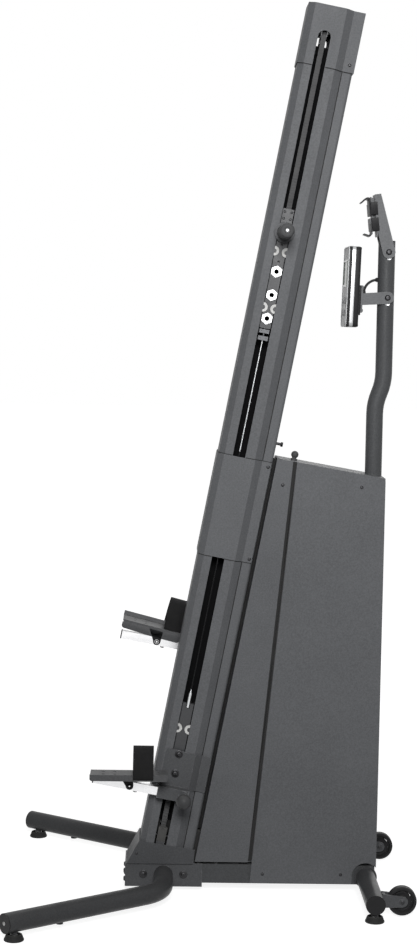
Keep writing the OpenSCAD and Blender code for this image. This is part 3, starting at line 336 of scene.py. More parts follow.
def buildEdgeWearAndHighlightLine():
    # thin bright line on the edges: rubbed coat, and a painted edge highlight
    group, given, result = newGroup(
        "edgeWearAndHighlightLine",
        [("Width", "NodeSocketFloat", 0.0012), ("Breakup", "NodeSocketFloat", 60.0)],
        [("Mask", "NodeSocketFloat")],
    )
    rounded = addNode(group, "ShaderNodeBevel", {"samples": 4})
    flat = addNode(group, "ShaderNodeNewGeometry")
    compare = addNode(group, "ShaderNodeVectorMath", {"operation": "DOT_PRODUCT"})
    patches = addNode(group, "ShaderNodeTexNoise", Detail=5.0, Roughness=0.65)
    fromObject(group, patches.inputs["Vector"])
    chain(
        group,
        (given.outputs["Width"], rounded.inputs["Radius"]),
        (rounded.outputs["Normal"], compare.inputs[0]),
        (flat.outputs["Normal"], compare.inputs[1]),
        (given.outputs["Breakup"], patches.inputs["Scale"]),
    )
    bend = mathNode(group, "SUBTRACT", 1.0, compare.outputs["Value"])
    line = rangeNode(group, bend, 0.02, 0.16, 0.0, 1.0)
    broken = rangeNode(group, patches.outputs["Fac"], 0.42, 0.62, 0.0, 1.0)
    chain(group, (multiply(group, line, broken, clamp=True), result.inputs["Mask"]))
    return group


def buildDustFilm():
    # light dust on faces that look up, thicker in patches
    group, given, result = newGroup(
        "dustFilm", [("Patches", "NodeSocketFloat", 14.0)], [("Mask", "NodeSocketFloat")]
    )
    surface = addNode(group, "ShaderNodeNewGeometry")
    parts = addNode(group, "ShaderNodeSeparateXYZ")
    patches = addNode(group, "ShaderNodeTexNoise", Detail=6.0, Roughness=0.6)
    fromObject(group, patches.inputs["Vector"])
    chain(
        group,
        (surface.outputs["Normal"], parts.inputs["Vector"]),
        (given.outputs["Patches"], patches.inputs["Scale"]),
    )
    up = rangeNode(group, parts.outputs["Z"], 0.35, 1.0, 0.0, 1.0)
    cover = rangeNode(group, patches.outputs["Fac"], 0.35, 0.75, 0.15, 1.0)
    chain(group, (multiply(group, up, cover, clamp=True), result.inputs["Mask"]))
    return group


def buildHandling():
    # smears and fingerprints that change the gloss only
    group, given, result = newGroup(
        "handling", [("Scale", "NodeSocketFloat", 18.0)], [("Smear", "NodeSocketFloat")]
    )
    stretch = addNode(group, "ShaderNodeMapping")
    stretch.inputs["Scale"].default_value = (1.0, 1.0, 0.35)
    broad = addNode(group, "ShaderNodeTexNoise", Detail=6.0, Roughness=0.7, Distortion=0.8)
    fromObject(group, stretch.inputs["Vector"])
    chain(
        group,
        (stretch.outputs["Vector"], broad.inputs["Vector"]),
        (given.outputs["Scale"], broad.inputs["Scale"]),
        (rangeNode(group, broad.outputs["Fac"], 0.3, 0.72, 0.0, 1.0), result.inputs["Smear"]),
    )
    return group


def buildBrushing():
    # fine parallel lines left by rolling, turning or drawing
    group, given, result = newGroup(
        "brushing",
        [("Scale", "NodeSocketFloat", 60.0), ("Stretch", "NodeSocketVector", (1.0, 1.0, 0.04))],
        [("Height", "NodeSocketFloat"), ("Streak", "NodeSocketFloat")],
    )
    stretch = addNode(group, "ShaderNodeVectorMath", {"operation": "MULTIPLY"})
    lines = addNode(group, "ShaderNodeTexNoise", Detail=6.0, Roughness=0.75)
    fromObject(group, stretch.inputs[0])
    chain(
        group,
        (given.outputs["Stretch"], stretch.inputs[1]),
        (stretch.outputs["Vector"], lines.inputs["Vector"]),
        (given.outputs["Scale"], lines.inputs["Scale"]),
        (lines.outputs["Fac"], result.inputs["Height"]),
        (rangeNode(group, lines.outputs["Fac"], 0.3, 0.7, 0.0, 1.0), result.inputs["Streak"]),
    )
    return group


def buildMouldGrain():
    # spark-eroded grain of moulded plastic and rubber
    group, given, result = newGroup(
        "mouldGrain", [("Scale", "NodeSocketFloat", 700.0)],
        [("Height", "NodeSocketFloat"), ("Tone", "NodeSocketFloat")],
    )
    grain = addNode(group, "ShaderNodeTexVoronoi", {"feature": "F1"}, Randomness=1.0)
    tone = addNode(group, "ShaderNodeTexNoise", Scale=22.0, Detail=4.0)
    fromObject(group, grain.inputs["Vector"], tone.inputs["Vector"])
    chain(
        group,
        (given.outputs["Scale"], grain.inputs["Scale"]),
        (grain.outputs["Distance"], result.inputs["Height"]),
        (rangeNode(group, tone.outputs["Fac"], 0.3, 0.7, 0.0, 1.0), result.inputs["Tone"]),
    )
    return group


def buildWeave():
    # flat webbing: ribs across the strap with a twill step, on the piece's own UV map
    group, given, result = newGroup(
        "weave",
        [("Ribs", "NodeSocketFloat", 40.0), ("Yarns", "NodeSocketFloat", 26.0)],
        [("Height", "NodeSocketFloat"), ("Tint", "NodeSocketFloat")],
    )
    coords = addNode(group, "ShaderNodeTexCoord")
    parts = addNode(group, "ShaderNodeSeparateXYZ")
    fuzz = addNode(group, "ShaderNodeTexNoise", Scale=160.0, Detail=3.0)
    chain(
        group,
        (coords.outputs["UV"], parts.inputs["Vector"]),
        (coords.outputs["Object"], fuzz.inputs["Vector"]),
    )
    along = multiply(group, parts.outputs["X"], given.outputs["Ribs"])
    across = multiply(group, parts.outputs["Y"], given.outputs["Yarns"])
    step = mathNode(group, "FRACT", multiply(group, mathNode(group, "FLOOR", across), 0.5))
    shifted = mathNode(group, "ADD", along, step)
    rib = mathNode(group, "ABSOLUTE", mathNode(group, "SINE", multiply(group, shifted, math.pi)))
    yarn = mathNode(group, "ABSOLUTE", mathNode(group, "SINE", multiply(group, across, math.pi)))
    cross = multiply(group, rib, mathNode(group, "POWER", yarn, 0.5))
    height = mathNode(group, "ADD", cross, multiply(group, fuzz.outputs["Fac"], 0.25))
    chain(group, (height, result.inputs["Height"]), (cross, result.inputs["Tint"]))
    return group


def buildPlaceMask():
    # how far a point lies along a direction, past a starting point
    group, given, result = newGroup(
        "placeMask",
        [("Direction", "NodeSocketVector", (0.0, 0.0, 1.0)), ("Start", "NodeSocketFloat", 0.0)],
        [("Distance", "NodeSocketFloat")],
    )
    dot = addNode(group, "ShaderNodeVectorMath", {"operation": "DOT_PRODUCT"})
    fromObject(group, dot.inputs[0])
    chain(group, (given.outputs["Direction"], dot.inputs[1]))
    distance = mathNode(group, "SUBTRACT", dot.outputs["Value"], given.outputs["Start"])
    chain(group, (distance, result.inputs["Distance"]))
    return group


groups = {
    "placeMask": buildPlaceMask(),
    "orangePeel": buildOrangePeel(),
    "edgeWearAndHighlightLine": buildEdgeWearAndHighlightLine(),
    "dustFilm": buildDustFilm(),
    "handling": buildHandling(),
    "brushing": buildBrushing(),
    "mouldGrain": buildMouldGrain(),
    "weave": buildWeave(),
}
print("surface effects built")


# finishes, by name

finishes = {}


def startMaterial(name, colour, roughness, metallic=0.0, **sockets):
    material = finishes[name] = bpy.data.materials.new(name)
    material.use_nodes = True
    tree = material.node_tree
    shader = tree.nodes["Principled BSDF"]
    shader.inputs["Base Color"].default_value = (*colour, 1)
    shader.inputs["Roughness"].default_value = roughness
    shader.inputs["Metallic"].default_value = metallic
    for key, value in sockets.items():
        shader.inputs[key.replace("_", " ")].default_value = value
    material.diffuse_color = (*colour, 1)
    return material, tree, shader


def shade(colour, times, lift=0.0):
    return tuple(min(1.0, c * times + lift) for c in colour)


def useGroup(tree, name, **sockets):
    node = addNode(tree, "ShaderNodeGroup", {"node_tree": groups[name]})
    for key, value in sockets.items():
        node.inputs[key].default_value = value
    return node


def mixColour(tree, factor, first, second):
    node = addNode(tree, "ShaderNodeMix", {"data_type": "RGBA", "blend_type": "MIX"})
    tree.links.new(factor, node.inputs["Factor"])
    for index, value in ((6, first), (7, second)):
        if isinstance(value, tuple):
            node.inputs[index].default_value = (*value, 1)
        else:
            tree.links.new(value, node.inputs[index])
    return node.outputs[2]


def bumpFrom(tree, shader, height, distance):
    bump = addNode(tree, "ShaderNodeBump", Strength=1.0, Distance=distance)
    tree.links.new(height, bump.inputs["Height"])
    tree.links.new(bump.outputs["Normal"], shader.inputs["Normal"])


def coatMaterial(name, colour, edgeWearAndHighlight, dusty, roughness=0.50, edgeWearAndHighlightWidth=0.0012, peel=900.0, depth=0.00012,
                 gloss=0.12):
    # baked powder coat: pebbled skin, slightly clouded, rubbed edges with a painted edge highlight, dust on top
    material, tree, shader = startMaterial(name, colour, roughness, Specular_IOR_Level=gloss)
    skin = useGroup(tree, "orangePeel", Scale=peel)
    wearAndHighlightMask = useGroup(tree, "edgeWearAndHighlightLine", Width=edgeWearAndHighlightWidth)
    dust = useGroup(tree, "dustFilm")
    smear = useGroup(tree, "handling")
    deep = shade(colour, 0.90)
    pale = shade(colour, 1.10)
    clouded = mixColour(tree, skin.outputs["Mottle"], deep, pale)
    grainy = mixColour(tree, multiply(tree, skin.outputs["Speckle"], 0.24), clouded,
                       shade(colour, 1.9))
    clouded = mixColour(tree, multiply(tree, mathNode(tree, "SUBTRACT", 1.0, skin.outputs["Speckle"]), 0.20),
                        grainy, shade(colour, 0.45))
    dustAmount = multiply(tree, dust.outputs["Mask"], dusty)
    dusted = mixColour(tree, dustAmount, clouded, (0.42, 0.41, 0.39))
    # edges lighter by the mask: rubbed coat, and a painted edge highlight
    wearAndHighlightAmount = multiply(tree, wearAndHighlightMask.outputs["Mask"], edgeWearAndHighlight)
    rubbedAndHighlighted = mixColour(tree, wearAndHighlightAmount, dusted, shade(colour, 2.3, 0.05))
    tree.links.new(rubbedAndHighlighted, shader.inputs["Base Color"])
    sheen = rangeNode(tree, smear.outputs["Smear"], 0.0, 1.0, roughness - 0.05, roughness + 0.08)
    tree.links.new(mathNode(tree, "ADD", sheen, multiply(tree, dustAmount, 0.3), clamp=True),
                   shader.inputs["Roughness"])
    bumpFrom(tree, shader, skin.outputs["Height"], depth)
    return material


def metalMaterial(name, colour, roughness, stretch, scale=60.0, tarnish=0.25, depth=0.00003, edgeWearAndHighlight=0.0):
    # plated or machined metal with drawn lines and faint tarnish
    material, tree, shader = startMaterial(name, colour, roughness, metallic=1.0)
    lines = useGroup(tree, "brushing", Scale=scale, Stretch=stretch)
    smear = useGroup(tree, "handling", Scale=30.0)
    dull = shade(colour, 0.74)
    base = mixColour(tree, multiply(tree, smear.outputs["Smear"], tarnish), colour, dull)
    # edges brightened by the mask: wear, and a painted edge highlight
    if edgeWearAndHighlight:
        wearAndHighlightMask = useGroup(tree, "edgeWearAndHighlightLine", Width=0.0008)
        bright = shade(colour, 1.5)
        base = mixColour(tree, multiply(tree, wearAndHighlightMask.outputs["Mask"], edgeWearAndHighlight), base, bright)
    tree.links.new(base, shader.inputs["Base Color"])
    streaks = rangeNode(tree, lines.outputs["Streak"], 0.0, 1.0, roughness - 0.06, roughness + 0.1)
    gloss = mathNode(tree, "ADD", streaks, multiply(tree, smear.outputs["Smear"], 0.06), clamp=True)
    tree.links.new(gloss, shader.inputs["Roughness"])
    bumpFrom(tree, shader, lines.outputs["Height"], depth)
    return material


def plasticMaterial(name, colour, roughness, grain=700.0, depth=0.00008, dusty=0.12, edgeWearAndHighlight=0.3, gloss=0.13):
    material, tree, shader = startMaterial(name, colour, roughness, Specular_IOR_Level=gloss)
    skin = useGroup(tree, "mouldGrain", Scale=grain)
    wearAndHighlightMask = useGroup(tree, "edgeWearAndHighlightLine", Width=0.0007)
    dust = useGroup(tree, "dustFilm", Patches=22.0)
    smear = useGroup(tree, "handling", Scale=24.0)
    toned = mixColour(tree, skin.outputs["Tone"], shade(colour, 0.86), shade(colour, 1.12))
    # edges brightened by the mask: rubbed plastic, and a painted edge highlight
    rubbedAndHighlighted = mixColour(tree, multiply(tree, wearAndHighlightMask.outputs["Mask"], edgeWearAndHighlight), toned,
                       shade(colour, 1.7, 0.03))
    dustAmount = multiply(tree, dust.outputs["Mask"], dusty)
    tree.links.new(mixColour(tree, dustAmount, rubbedAndHighlighted, (0.4, 0.39, 0.37)), shader.inputs["Base Color"])
    tree.links.new(rangeNode(tree, smear.outputs["Smear"], 0.0, 1.0, roughness - 0.06, roughness + 0.08),
                   shader.inputs["Roughness"])
    bumpFrom(tree, shader, skin.outputs["Height"], depth)
    return material


def webbingMaterial(name, colour):
    material, tree, shader = startMaterial(name, colour, 0.9, Specular_IOR_Level=0.12)
    cloth = useGroup(tree, "weave", Ribs=150.0, Yarns=22.0)
    smear = useGroup(tree, "handling", Scale=40.0)
    yarn = mixColour(tree, cloth.outputs["Tint"], shade(colour, 0.55), shade(colour, 1.5))
    tree.links.new(mixColour(tree, multiply(tree, smear.outputs["Smear"], 0.2), yarn, (0.040, 0.039, 0.038)),
                   shader.inputs["Base Color"])
    tree.links.new(rangeNode(tree, cloth.outputs["Tint"], 0.0, 1.0, 0.9, 0.72), shader.inputs["Roughness"])
    bumpFrom(tree, shader, cloth.outputs["Height"], 0.0004)
    return material


coatMaterial("mastCoat", (0.112, 0.115, 0.121), 0.45, 0.10)
coatMaterial("panelCoat", (0.108, 0.111, 0.117), 0.40, 0.12)
coatMaterial("legCoat", (0.050, 0.051, 0.053), 0.45, 0.04, roughness=0.36)
# full edge strength on a wide line: the bracket's bright edges are a painted highlight as well as wear
coatMaterial("bracketCoat", (0.080, 0.082, 0.086), 1.0, 0.10, roughness=0.42, edgeWearAndHighlightWidth=0.003)
coatMaterial("postCoat", (0.066, 0.068, 0.071), 0.5, 0.10, roughness=0.40)
coatMaterial("pedalCoat", (0.075, 0.076, 0.079), 0.8, 0.14, roughness=0.44)
coatMaterial("armCoat", (0.128, 0.131, 0.136), 0.5, 0.10, roughness=0.42)
coatMaterial("shroudCoat", (0.072, 0.074, 0.078), 0.8, 0.12, roughness=0.44)
# near-black with almost no gloss: the core's own black, darkened further as painted shade in the slots
coatMaterial("coreBlackAndSlotShade", (0.006, 0.006, 0.0065), 0.2, 0.02, roughness=0.8, peel=1500.0, depth=0.00004,
             gloss=0.04)
coatMaterial("trolleyCoat", (0.040, 0.041, 0.044), 1.0, 0.04, roughness=0.42, peel=1300.0, gloss=0.35)
metalMaterial("brightZinc", (0.44, 0.445, 0.45), 0.34, (1.0, 1.0, 0.06), tarnish=0.35)
metalMaterial("tubeZinc", (0.80, 0.80, 0.81), 0.24, (0.06, 1.0, 1.0), tarnish=0.3)
metalMaterial("turnedSteel", (0.62, 0.63, 0.64), 0.3, (0.1, 1.0, 1.0), scale=90.0)
# full edge strength: the bolts' bright rims are a painted highlight as well as wear
metalMaterial("boltBlack", (0.040, 0.040, 0.042), 0.34, (1.0, 1.0, 1.0), edgeWearAndHighlight=1.0)
plasticMaterial("wheelPlastic", (0.020, 0.020, 0.021), 0.5)
plasticMaterial("capPlastic", (0.018, 0.018, 0.019), 0.42)
plasticMaterial("shellPlastic", (0.014, 0.014, 0.015), 0.40, grain=900.0)
plasticMaterial("clawPlastic", (0.010, 0.010, 0.011), 0.46, grain=900.0, edgeWearAndHighlight=0.04)
plasticMaterial("framePlastic", (0.70, 0.71, 0.72), 0.36, grain=1100.0, depth=0.00004, edgeWearAndHighlight=0.1)
plasticMaterial("acetal", (0.62, 0.62, 0.61), 0.38, grain=1400.0, depth=0.00002, dusty=0.2, edgeWearAndHighlight=0.1)
plasticMaterial("bumperRubber", (0.085, 0.084, 0.082), 0.75, grain=600.0, dusty=0.3, edgeWearAndHighlight=0.2)
plasticMaterial("footRubber", (0.026, 0.026, 0.026), 0.68, grain=500.0, dusty=0.25, edgeWearAndHighlight=0.25)
plasticMaterial("gripRubber", (0.070, 0.071, 0.073), 0.62, grain=420.0, depth=0.0002, dusty=0.1)
plasticMaterial("knobPlastic", (0.060, 0.061, 0.063), 0.42, grain=1600.0, depth=0.00002, edgeWearAndHighlight=0.15)
plasticMaterial("beltRubber", (0.080, 0.080, 0.082), 0.6, grain=800.0, dusty=0.1)
webbingMaterial("webbing", (0.011, 0.011, 0.0115))
metalMaterial("satinBand", (0.40, 0.405, 0.41), 0.36, (1.0, 1.0, 0.03), tarnish=0.15)
# pale grey screen: a painted reflection of the bright room on the glass
plasticMaterial("screenPaintedReflection", (0.50, 0.53, 0.50), 0.14, grain=2500.0, depth=0.000005, edgeWearAndHighlight=0.0, dusty=0.04)
plasticMaterial("buttonGrey", (0.36, 0.365, 0.37), 0.5, grain=1400.0, depth=0.00004, edgeWearAndHighlight=0.2)
plasticMaterial("stitchThread", (0.060, 0.060, 0.062), 0.7, grain=2500.0, edgeWearAndHighlight=0.0)


# where a finish changes colour: along the mast from the top pulley (painted shade in the lower track), on the
# pedals (painted shade on the hinge ears) and on the holder
zones = {
    # lower track: dark steel as painted shade inside the slot; above it, the tensioner's own black
    "tie": ((-1.779, -1.130, (0.020, 0.020, 0.021)), (-0.832, 0.0, (0.060, 0.061, 0.064))),
    # painted shade on the hinge ears under the tread
    "earShadeBelow": 0.0296, "earPaintedShade": (0.010, 0.010, 0.011),
    "jawAt": (0.3965, 0, 1.7565), "jawLean": -6, "jawAhead": -0.0010, "jawBelow": 1.792,
    "jawBlack": (0.012, 0.012, 0.013),
}


def swapColour(material, mask, colour):
    # another colour where the mask is on
    tree = material.node_tree
    socket = tree.nodes["Principled BSDF"].inputs["Base Color"]
    below = socket.links[0].from_socket
    tree.links.new(mixColour(tree, mask, below, colour), socket)


def tieSteel(name, lift):
    # drawn wire: darkened in the lower track as painted shade inside the slot, with a blackened tensioner at its
    # top
    material = metalMaterial(name, (0.56, 0.57, 0.58), 0.32, (1.0, 1.0, 0.06), tarnish=0.35)
    tree = material.node_tree
    start = topPulleyAt.dot(mastAlong) + lift
    for low, high, colour in zones["tie"]:
        along = useGroup(tree, "placeMask", Direction=tuple(mastAlong), Start=start + low).outputs["Distance"]
        above = mathNode(tree, "GREATER_THAN", along, 0.0)
        below = mathNode(tree, "LESS_THAN", along, high - low)
        swapColour(material, multiply(tree, above, below), colour)


def pedalCoat(name, sideName):
    # the tread's coat, with the hinge ears below it darkened as painted shade under the tread
    material = coatMaterial(name, (0.082, 0.083, 0.086), 0.8, 0.14, roughness=0.44)
    tree = material.node_tree
    tilt = math.radians(leftPedalTilt if sideName == "left" else 0)
    up = Vector((math.sin(tilt), 0, math.cos(tilt)))
    level = Vector(joints[sideName + "_pedal_tilt"]["pos_m"]).dot(up) + zones["earShadeBelow"]
    down = useGroup(tree, "placeMask", Direction=tuple(-up), Start=-level).outputs["Distance"]
    swapColour(material, mathNode(tree, "GREATER_THAN", down, 0.0), zones["earPaintedShade"])


def holderCoat():
    # the arm's coat, with its lower jaw in black
    material = coatMaterial("holderCoat", (0.128, 0.131, 0.136), 0.5, 0.10, roughness=0.42)
    tree = material.node_tree
    lean = math.radians(zones["jawLean"])
    ahead = Vector((-math.cos(lean), 0, math.sin(lean)))
    start = ahead.dot(Vector(zones["jawAt"])) + zones["jawAhead"]
    out = useGroup(tree, "placeMask", Direction=tuple(ahead), Start=start).outputs["Distance"]
    rise = useGroup(tree, "placeMask", Direction=(0, 0, 1), Start=zones["jawBelow"]).outputs["Distance"]
    low = mathNode(tree, "LESS_THAN", rise, 0.0)
    swapColour(material, multiply(tree, mathNode(tree, "GREATER_THAN", out, 0.0), low), zones["jawBlack"])


holderCoat()
for side, sign, lift in sides:
    tieSteel(side + "TieSteel", lift)
    pedalCoat(side + "PedalCoat", side)

nodesOf = {
    "postCoat": ["base_rail", "console_post"],
    "bracketCoat": ["front_leg_bracket", "wheel_forks", "pulley_mounts", "brake_frame"],
    "legCoat": ["front_legs", "rear_crossbar"],
    "capPlastic": ["tube_end_caps", "console_lead"],
    "footRubber": ["levelling_feet"],
    "wheelPlastic": ["right_transport_wheel", "left_transport_wheel"],
    "mastCoat": ["mast_spine", "right_track_cover", "left_track_cover", "mast_cap", "mid_cover"],
    "coreBlackAndSlotShade": ["mast_core"],
    "shroudCoat": ["mast_foot_shroud"],
    "bumperRubber": ["slot_bumpers"],
    "turnedSteel": ["top_pulley", "flywheel"],
    "boltBlack": ["bottom_pulley", "frame_fasteners"],
    "beltRubber": ["upper_belt", "lower_belt", "drive_belt"],
    "panelCoat": ["housing_right_panel", "housing_left_panel", "housing_front_panel", "housing_rear_cover"],
    "knobPlastic": ["resistance_knob"],
    "armCoat": ["console_bracket"],
    "shellPlastic": ["console_back_shell"],
    "framePlastic": ["console_bezel"],
    "holderCoat": ["phone_holder_arm"],
    "clawPlastic": ["phone_holder_claw"],
}
sideNodesOf = {
    "trolleyCoat": "trolley", "acetal": "rollers", "brightZinc": "handle_sockets",
    "gripRubber": "handgrip", "bracketCoat": "foot_bracket", "knobPlastic": "pull_knob",
    "tubeZinc": "pedal_tube", "webbing": "foot_strap",
}
for side in ("right", "left"):
    for finishName, part in sideNodesOf.items():
        nodesOf.setdefault(finishName, []).append(side + "_" + part)
    nodesOf[side + "TieSteel"] = [side + "_tie_cable"]
    nodesOf[side + "PedalCoat"] = [side + "_pedal"]

for finishName, nodeNames in nodesOf.items():
    for nodeName in nodeNames:
        materials = frame["nodes"][nodeName].data.materials
        if not materials:
            materials.append(finishes[finishName])
        for index in range(len(materials)):
            materials[index] = finishes[finishName]
print("finishes on the packed nodes")


# modelling helpers

def pickFaces(piece, test):
    # edit mode, with only the faces that pass the test selected
    editMode(piece)
    bpy.ops.mesh.select_mode(type="FACE")
    bpy.ops.mesh.select_all(action="DESELECT")
    mesh = bmesh.from_edit_mesh(piece.data)
    for face in mesh.faces:
        face.select_set(bool(test(face.calc_center_median(), face.normal)))
    bmesh.update_edit_mesh(piece.data)


def pickEdges(piece, test):
    editMode(piece)
    bpy.ops.mesh.select_mode(type="EDGE")
    bpy.ops.mesh.select_all(action="DESELECT")
    mesh = bmesh.from_edit_mesh(piece.data)
    for edge in mesh.edges:
        first, second = (v.co for v in edge.verts)
        edge.select_set(bool(test(first, second)))
    bmesh.update_edit_mesh(piece.data)


def insetBy(width, depth=0):
    bpy.ops.mesh.inset(thickness=width, depth=depth)


def bevelBy(width, segments):
    bpy.ops.mesh.bevel(offset=width, segments=segments, affect="EDGES")


def extrudeBy(x, y, z):
    bpy.ops.mesh.extrude_region_move(TRANSFORM_OT_translate={"value": (x, y, z)})


def closeEdit():
    bpy.ops.mesh.select_mode(type="VERT")
    bpy.ops.mesh.select_all(action="SELECT")
    bpy.ops.mesh.remove_doubles(threshold=1e-6)
    bpy.ops.mesh.normals_make_consistent(inside=False)
    objectMode()


def cleanUp(piece):
    editMode(piece)
    closeEdit()


def soften(piece, width, angle):
    # a small round on every edge sharper than the angle
    applyModifier(piece, "BEVEL", width=width, segments=2, limit_method="ANGLE",
                  angle_limit=math.radians(angle))


def thicken(piece, thickness, offset):
    applyModifier(piece, "SOLIDIFY", thickness=thickness, offset=offset, use_even_offset=True)


def block(size, at=(0, 0, 0)):
    clearSelection()
    bpy.ops.mesh.primitive_cube_add(size=1, location=at)
    piece = bpy.context.object
    piece.scale = size
    return settle(piece)


def place(piece, matrix):
    piece.matrix_world = matrix @ piece.matrix_world
    return settle(piece)


def copyOf(piece):
    twin = piece.copy()
    twin.data = piece.data.copy()
    bpy.context.collection.objects.link(twin)
    return twin


def onMast(across, side, along):
    # a point from its distances across, beside and along the mast, in metres from the top pulley
    return topPulleyAt + mastAcross * across + sideways * side + mastAlong * along


def frameAt(at, xAxis, yAxis, zAxis):
    turn = Matrix((xAxis, yAxis, zAxis)).transposed().to_4x4()
    return Matrix.Translation(at) @ turn


def alongAxis(at, axis, flat=None):
    # +Z goes along the axis, and +X as near as it can to flat
    zAxis = Vector(axis).normalized()
    flat = Vector((flat or (0, 0, 1)) if abs(zAxis.z) < 0.9 else (1, 0, 0))
    xAxis = (flat - zAxis * flat.dot(zAxis)).normalized()
    return frameAt(Vector(at), xAxis, zAxis.cross(xAxis), zAxis)


def turned(steps, sides=40):
    # a turned form: a disc drawn up through (height, radius) steps
    clearSelection()
    bpy.ops.mesh.primitive_circle_add(vertices=sides, radius=steps[0][1], fill_type="NGON",
                                      location=(0, 0, steps[0][0]))
    piece = settle(bpy.context.object)
    bpy.ops.object.mode_set(mode="EDIT")
    bpy.ops.mesh.select_all(action="SELECT")
    for (low, wide), (high, broad) in zip(steps, steps[1:]):
        extrudeBy(0, 0, high - low)
        bpy.ops.transform.resize(value=(broad / wide, broad / wide, 1))
    closeEdit()
    return piece


def roundedSlab(size, corner, edge=0.0, segments=5):
    # a slab centred on the origin, thin along X, with its four long corners rounded
    piece = block(size)
    pickEdges(piece, lambda a, b: abs(a.x - b.x) > size[0] * 0.5)
    bevelBy(corner, segments)
    bpy.ops.mesh.normals_make_consistent(inside=False)
    objectMode()
    if edge:
        pickEdges(piece, lambda a, b: abs(a.x - b.x) < 1e-6 and abs(abs(a.x) - size[0] / 2) < 1e-6)
        bevelBy(edge, 3)
        objectMode()
    return piece


def wind(piece, pitch, turns, steps):
    # carries a section round Z in a screw
    applyModifier(piece, "SCREW", angle=math.radians(360), screw_offset=pitch, iterations=turns,
                  steps=steps, render_steps=steps, axis="Z", use_merge_vertices=True)


def repeat(piece, count, step):
    return applyModifier(piece, "ARRAY", count=count, use_relative_offset=False, use_constant_offset=True,
                         constant_offset_displace=step, use_merge_vertices=True, merge_threshold=2e-5)


# climbing belts, ribbed across on the side that faces out

belt = {
    "wide": 0.0135, "thick": 0.003, "pitch": 0.0078, "rib": 0.0007,
    "radius": 0.0383,      # of the pulleys, to the belt's inner face
    "clampUpper": 0.511, "clampLower": 0.146,
}


def beltStrip(count, length):
    # one pitch is modelled and repeated along Z; the ribbed side faces +Y
    pitch = length / count
    strip = block((belt["wide"], belt["thick"], pitch), (0, belt["thick"] / 2, pitch / 2))
    pickFaces(strip, lambda c, n: n.y > 0.9)
    insetBy(pitch * 0.16)
    bpy.ops.transform.resize(value=(1.22, 1, 1))
    extrudeBy(0, belt["rib"], 0)
    bpy.ops.transform.resize(value=(0.97, 1, 0.6))
    objectMode()
    pickFaces(strip, lambda c, n: n.y < -0.9)
    insetBy(pitch * 0.2)
    bpy.ops.transform.translate(value=(0, belt["thick"] * 0.22, 0))
    objectMode()
    pickFaces(strip, lambda c, n: abs(n.z) > 0.9 and (c.z < 1e-5 or c.z > pitch - 1e-5))
    bpy.ops.mesh.delete(type="FACE")
    objectMode()
    return repeat(strip, count, (0, 0, pitch))


def capEnds(piece):
    pickEdges(piece, lambda a, b: False)
    bpy.ops.mesh.select_non_manifold(extend=False)
    bpy.ops.mesh.fill()
    closeEdit()
    return piece


def beltRun(name, at, down, side, length):
    strip = capEnds(beltStrip(round(length / belt["pitch"]), length))
    facing = sideways * side
    place(strip, frameAt(at, facing.cross(down), facing, down))
    finishPiece(strip, name, None, "beltRubber")
    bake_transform(strip)
    return strip


def beltArc(name, at, down, replaced):
    # the half turn round a pulley, bent from a straight strip
    middle = belt["radius"] + belt["thick"] / 2
    length = math.pi * middle
    strip = beltStrip(16, length)
    place(strip, Matrix.Rotation(math.pi, 4, "Z") @ Matrix.Translation((0, -belt["thick"] / 2, -length / 2)))
    applyModifier(strip, "SIMPLE_DEFORM", deform_method="BEND", angle=math.pi, deform_axis="X")
    place(strip, Matrix.Translation((0, -middle, 0)))
    capEnds(strip)
    place(strip, frameAt(at, mastAcross, down, mastAcross.cross(down)))
    return finishPiece(strip, name, "frame", "beltRubber", replaced=replaced)


for label, centre, down, rightRun, leftRun in (
    ("upper", topPulleyAt, -mastAlong, belt["clampUpper"], belt["clampLower"]),
    ("lower", lowPulleyAt, mastAlong, belt["clampLower"], belt["clampUpper"]),
):
    # the low pulley's joint stands further back on its shaft, so its belt takes the top one's plane
    plane = centre + mastAcross * (topPulleyAt - centre).dot(mastAcross)
    beltArc(label + "BeltTurn", plane, down, label + "_belt")
    for sideName, sign, length in (("right", -1, rightRun), ("left", 1, leftRun)):
        beltRun(label + "Belt" + sideName.title() + "Run", plane + sideways * sign * belt["radius"], down,
                sign, length)
print("belts made")


# screws, studs and other small fixings

def hexRecess(piece, width, low, high):
    # cuts a hexagon socket down from the top of a turned head
    clearSelection()
    bpy.ops.mesh.primitive_cylinder_add(vertices=6, radius=width / math.sqrt(3), depth=high - low,
                                        location=(0, 0, (high + low) / 2))
    cutter = settle(bpy.context.object)
    applyModifier(piece, "BOOLEAN", object=cutter, operation="DIFFERENCE", solver="EXACT")
    bpy.data.objects.remove(cutter)
    return piece


def buttonScrew(radius, height):
    dome = ((0, 1), (0.2, 1), (0.5, 0.93), (0.8, 0.76), (1, 0.52))
    head = turned([(height * rise, radius * share) for rise, share in dome], 32)
    return hexRecess(head, radius * 0.62, height * 0.35, height * 1.4)


def islandBoxes(nodeName):
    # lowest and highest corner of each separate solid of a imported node
    mesh = bmesh.new()
    mesh.from_mesh(frame["nodes"][nodeName].data)
    bmesh.ops.remove_doubles(mesh, verts=mesh.verts, dist=1e-6)
    boxes, seen = [], set()
    for seed in mesh.verts:
        if seed in seen:
            continue
        group, queue = [], [seed]
        seen.add(seed)
        while queue:
            vertex = queue.pop()
            group.append(vertex.co.copy())
            for edge in vertex.link_edges:
                other = edge.other_vert(vertex)
                if other not in seen:
                    seen.add(other)
                    queue.append(other)
        low = Vector(min(p[i] for p in group) for i in range(3))
        high = Vector(max(p[i] for p in group) for i in range(3))
        boxes.append((low, high))
    mesh.free()
    return sorted(boxes, key=lambda box: tuple(round(v, 5) for v in box[0]))


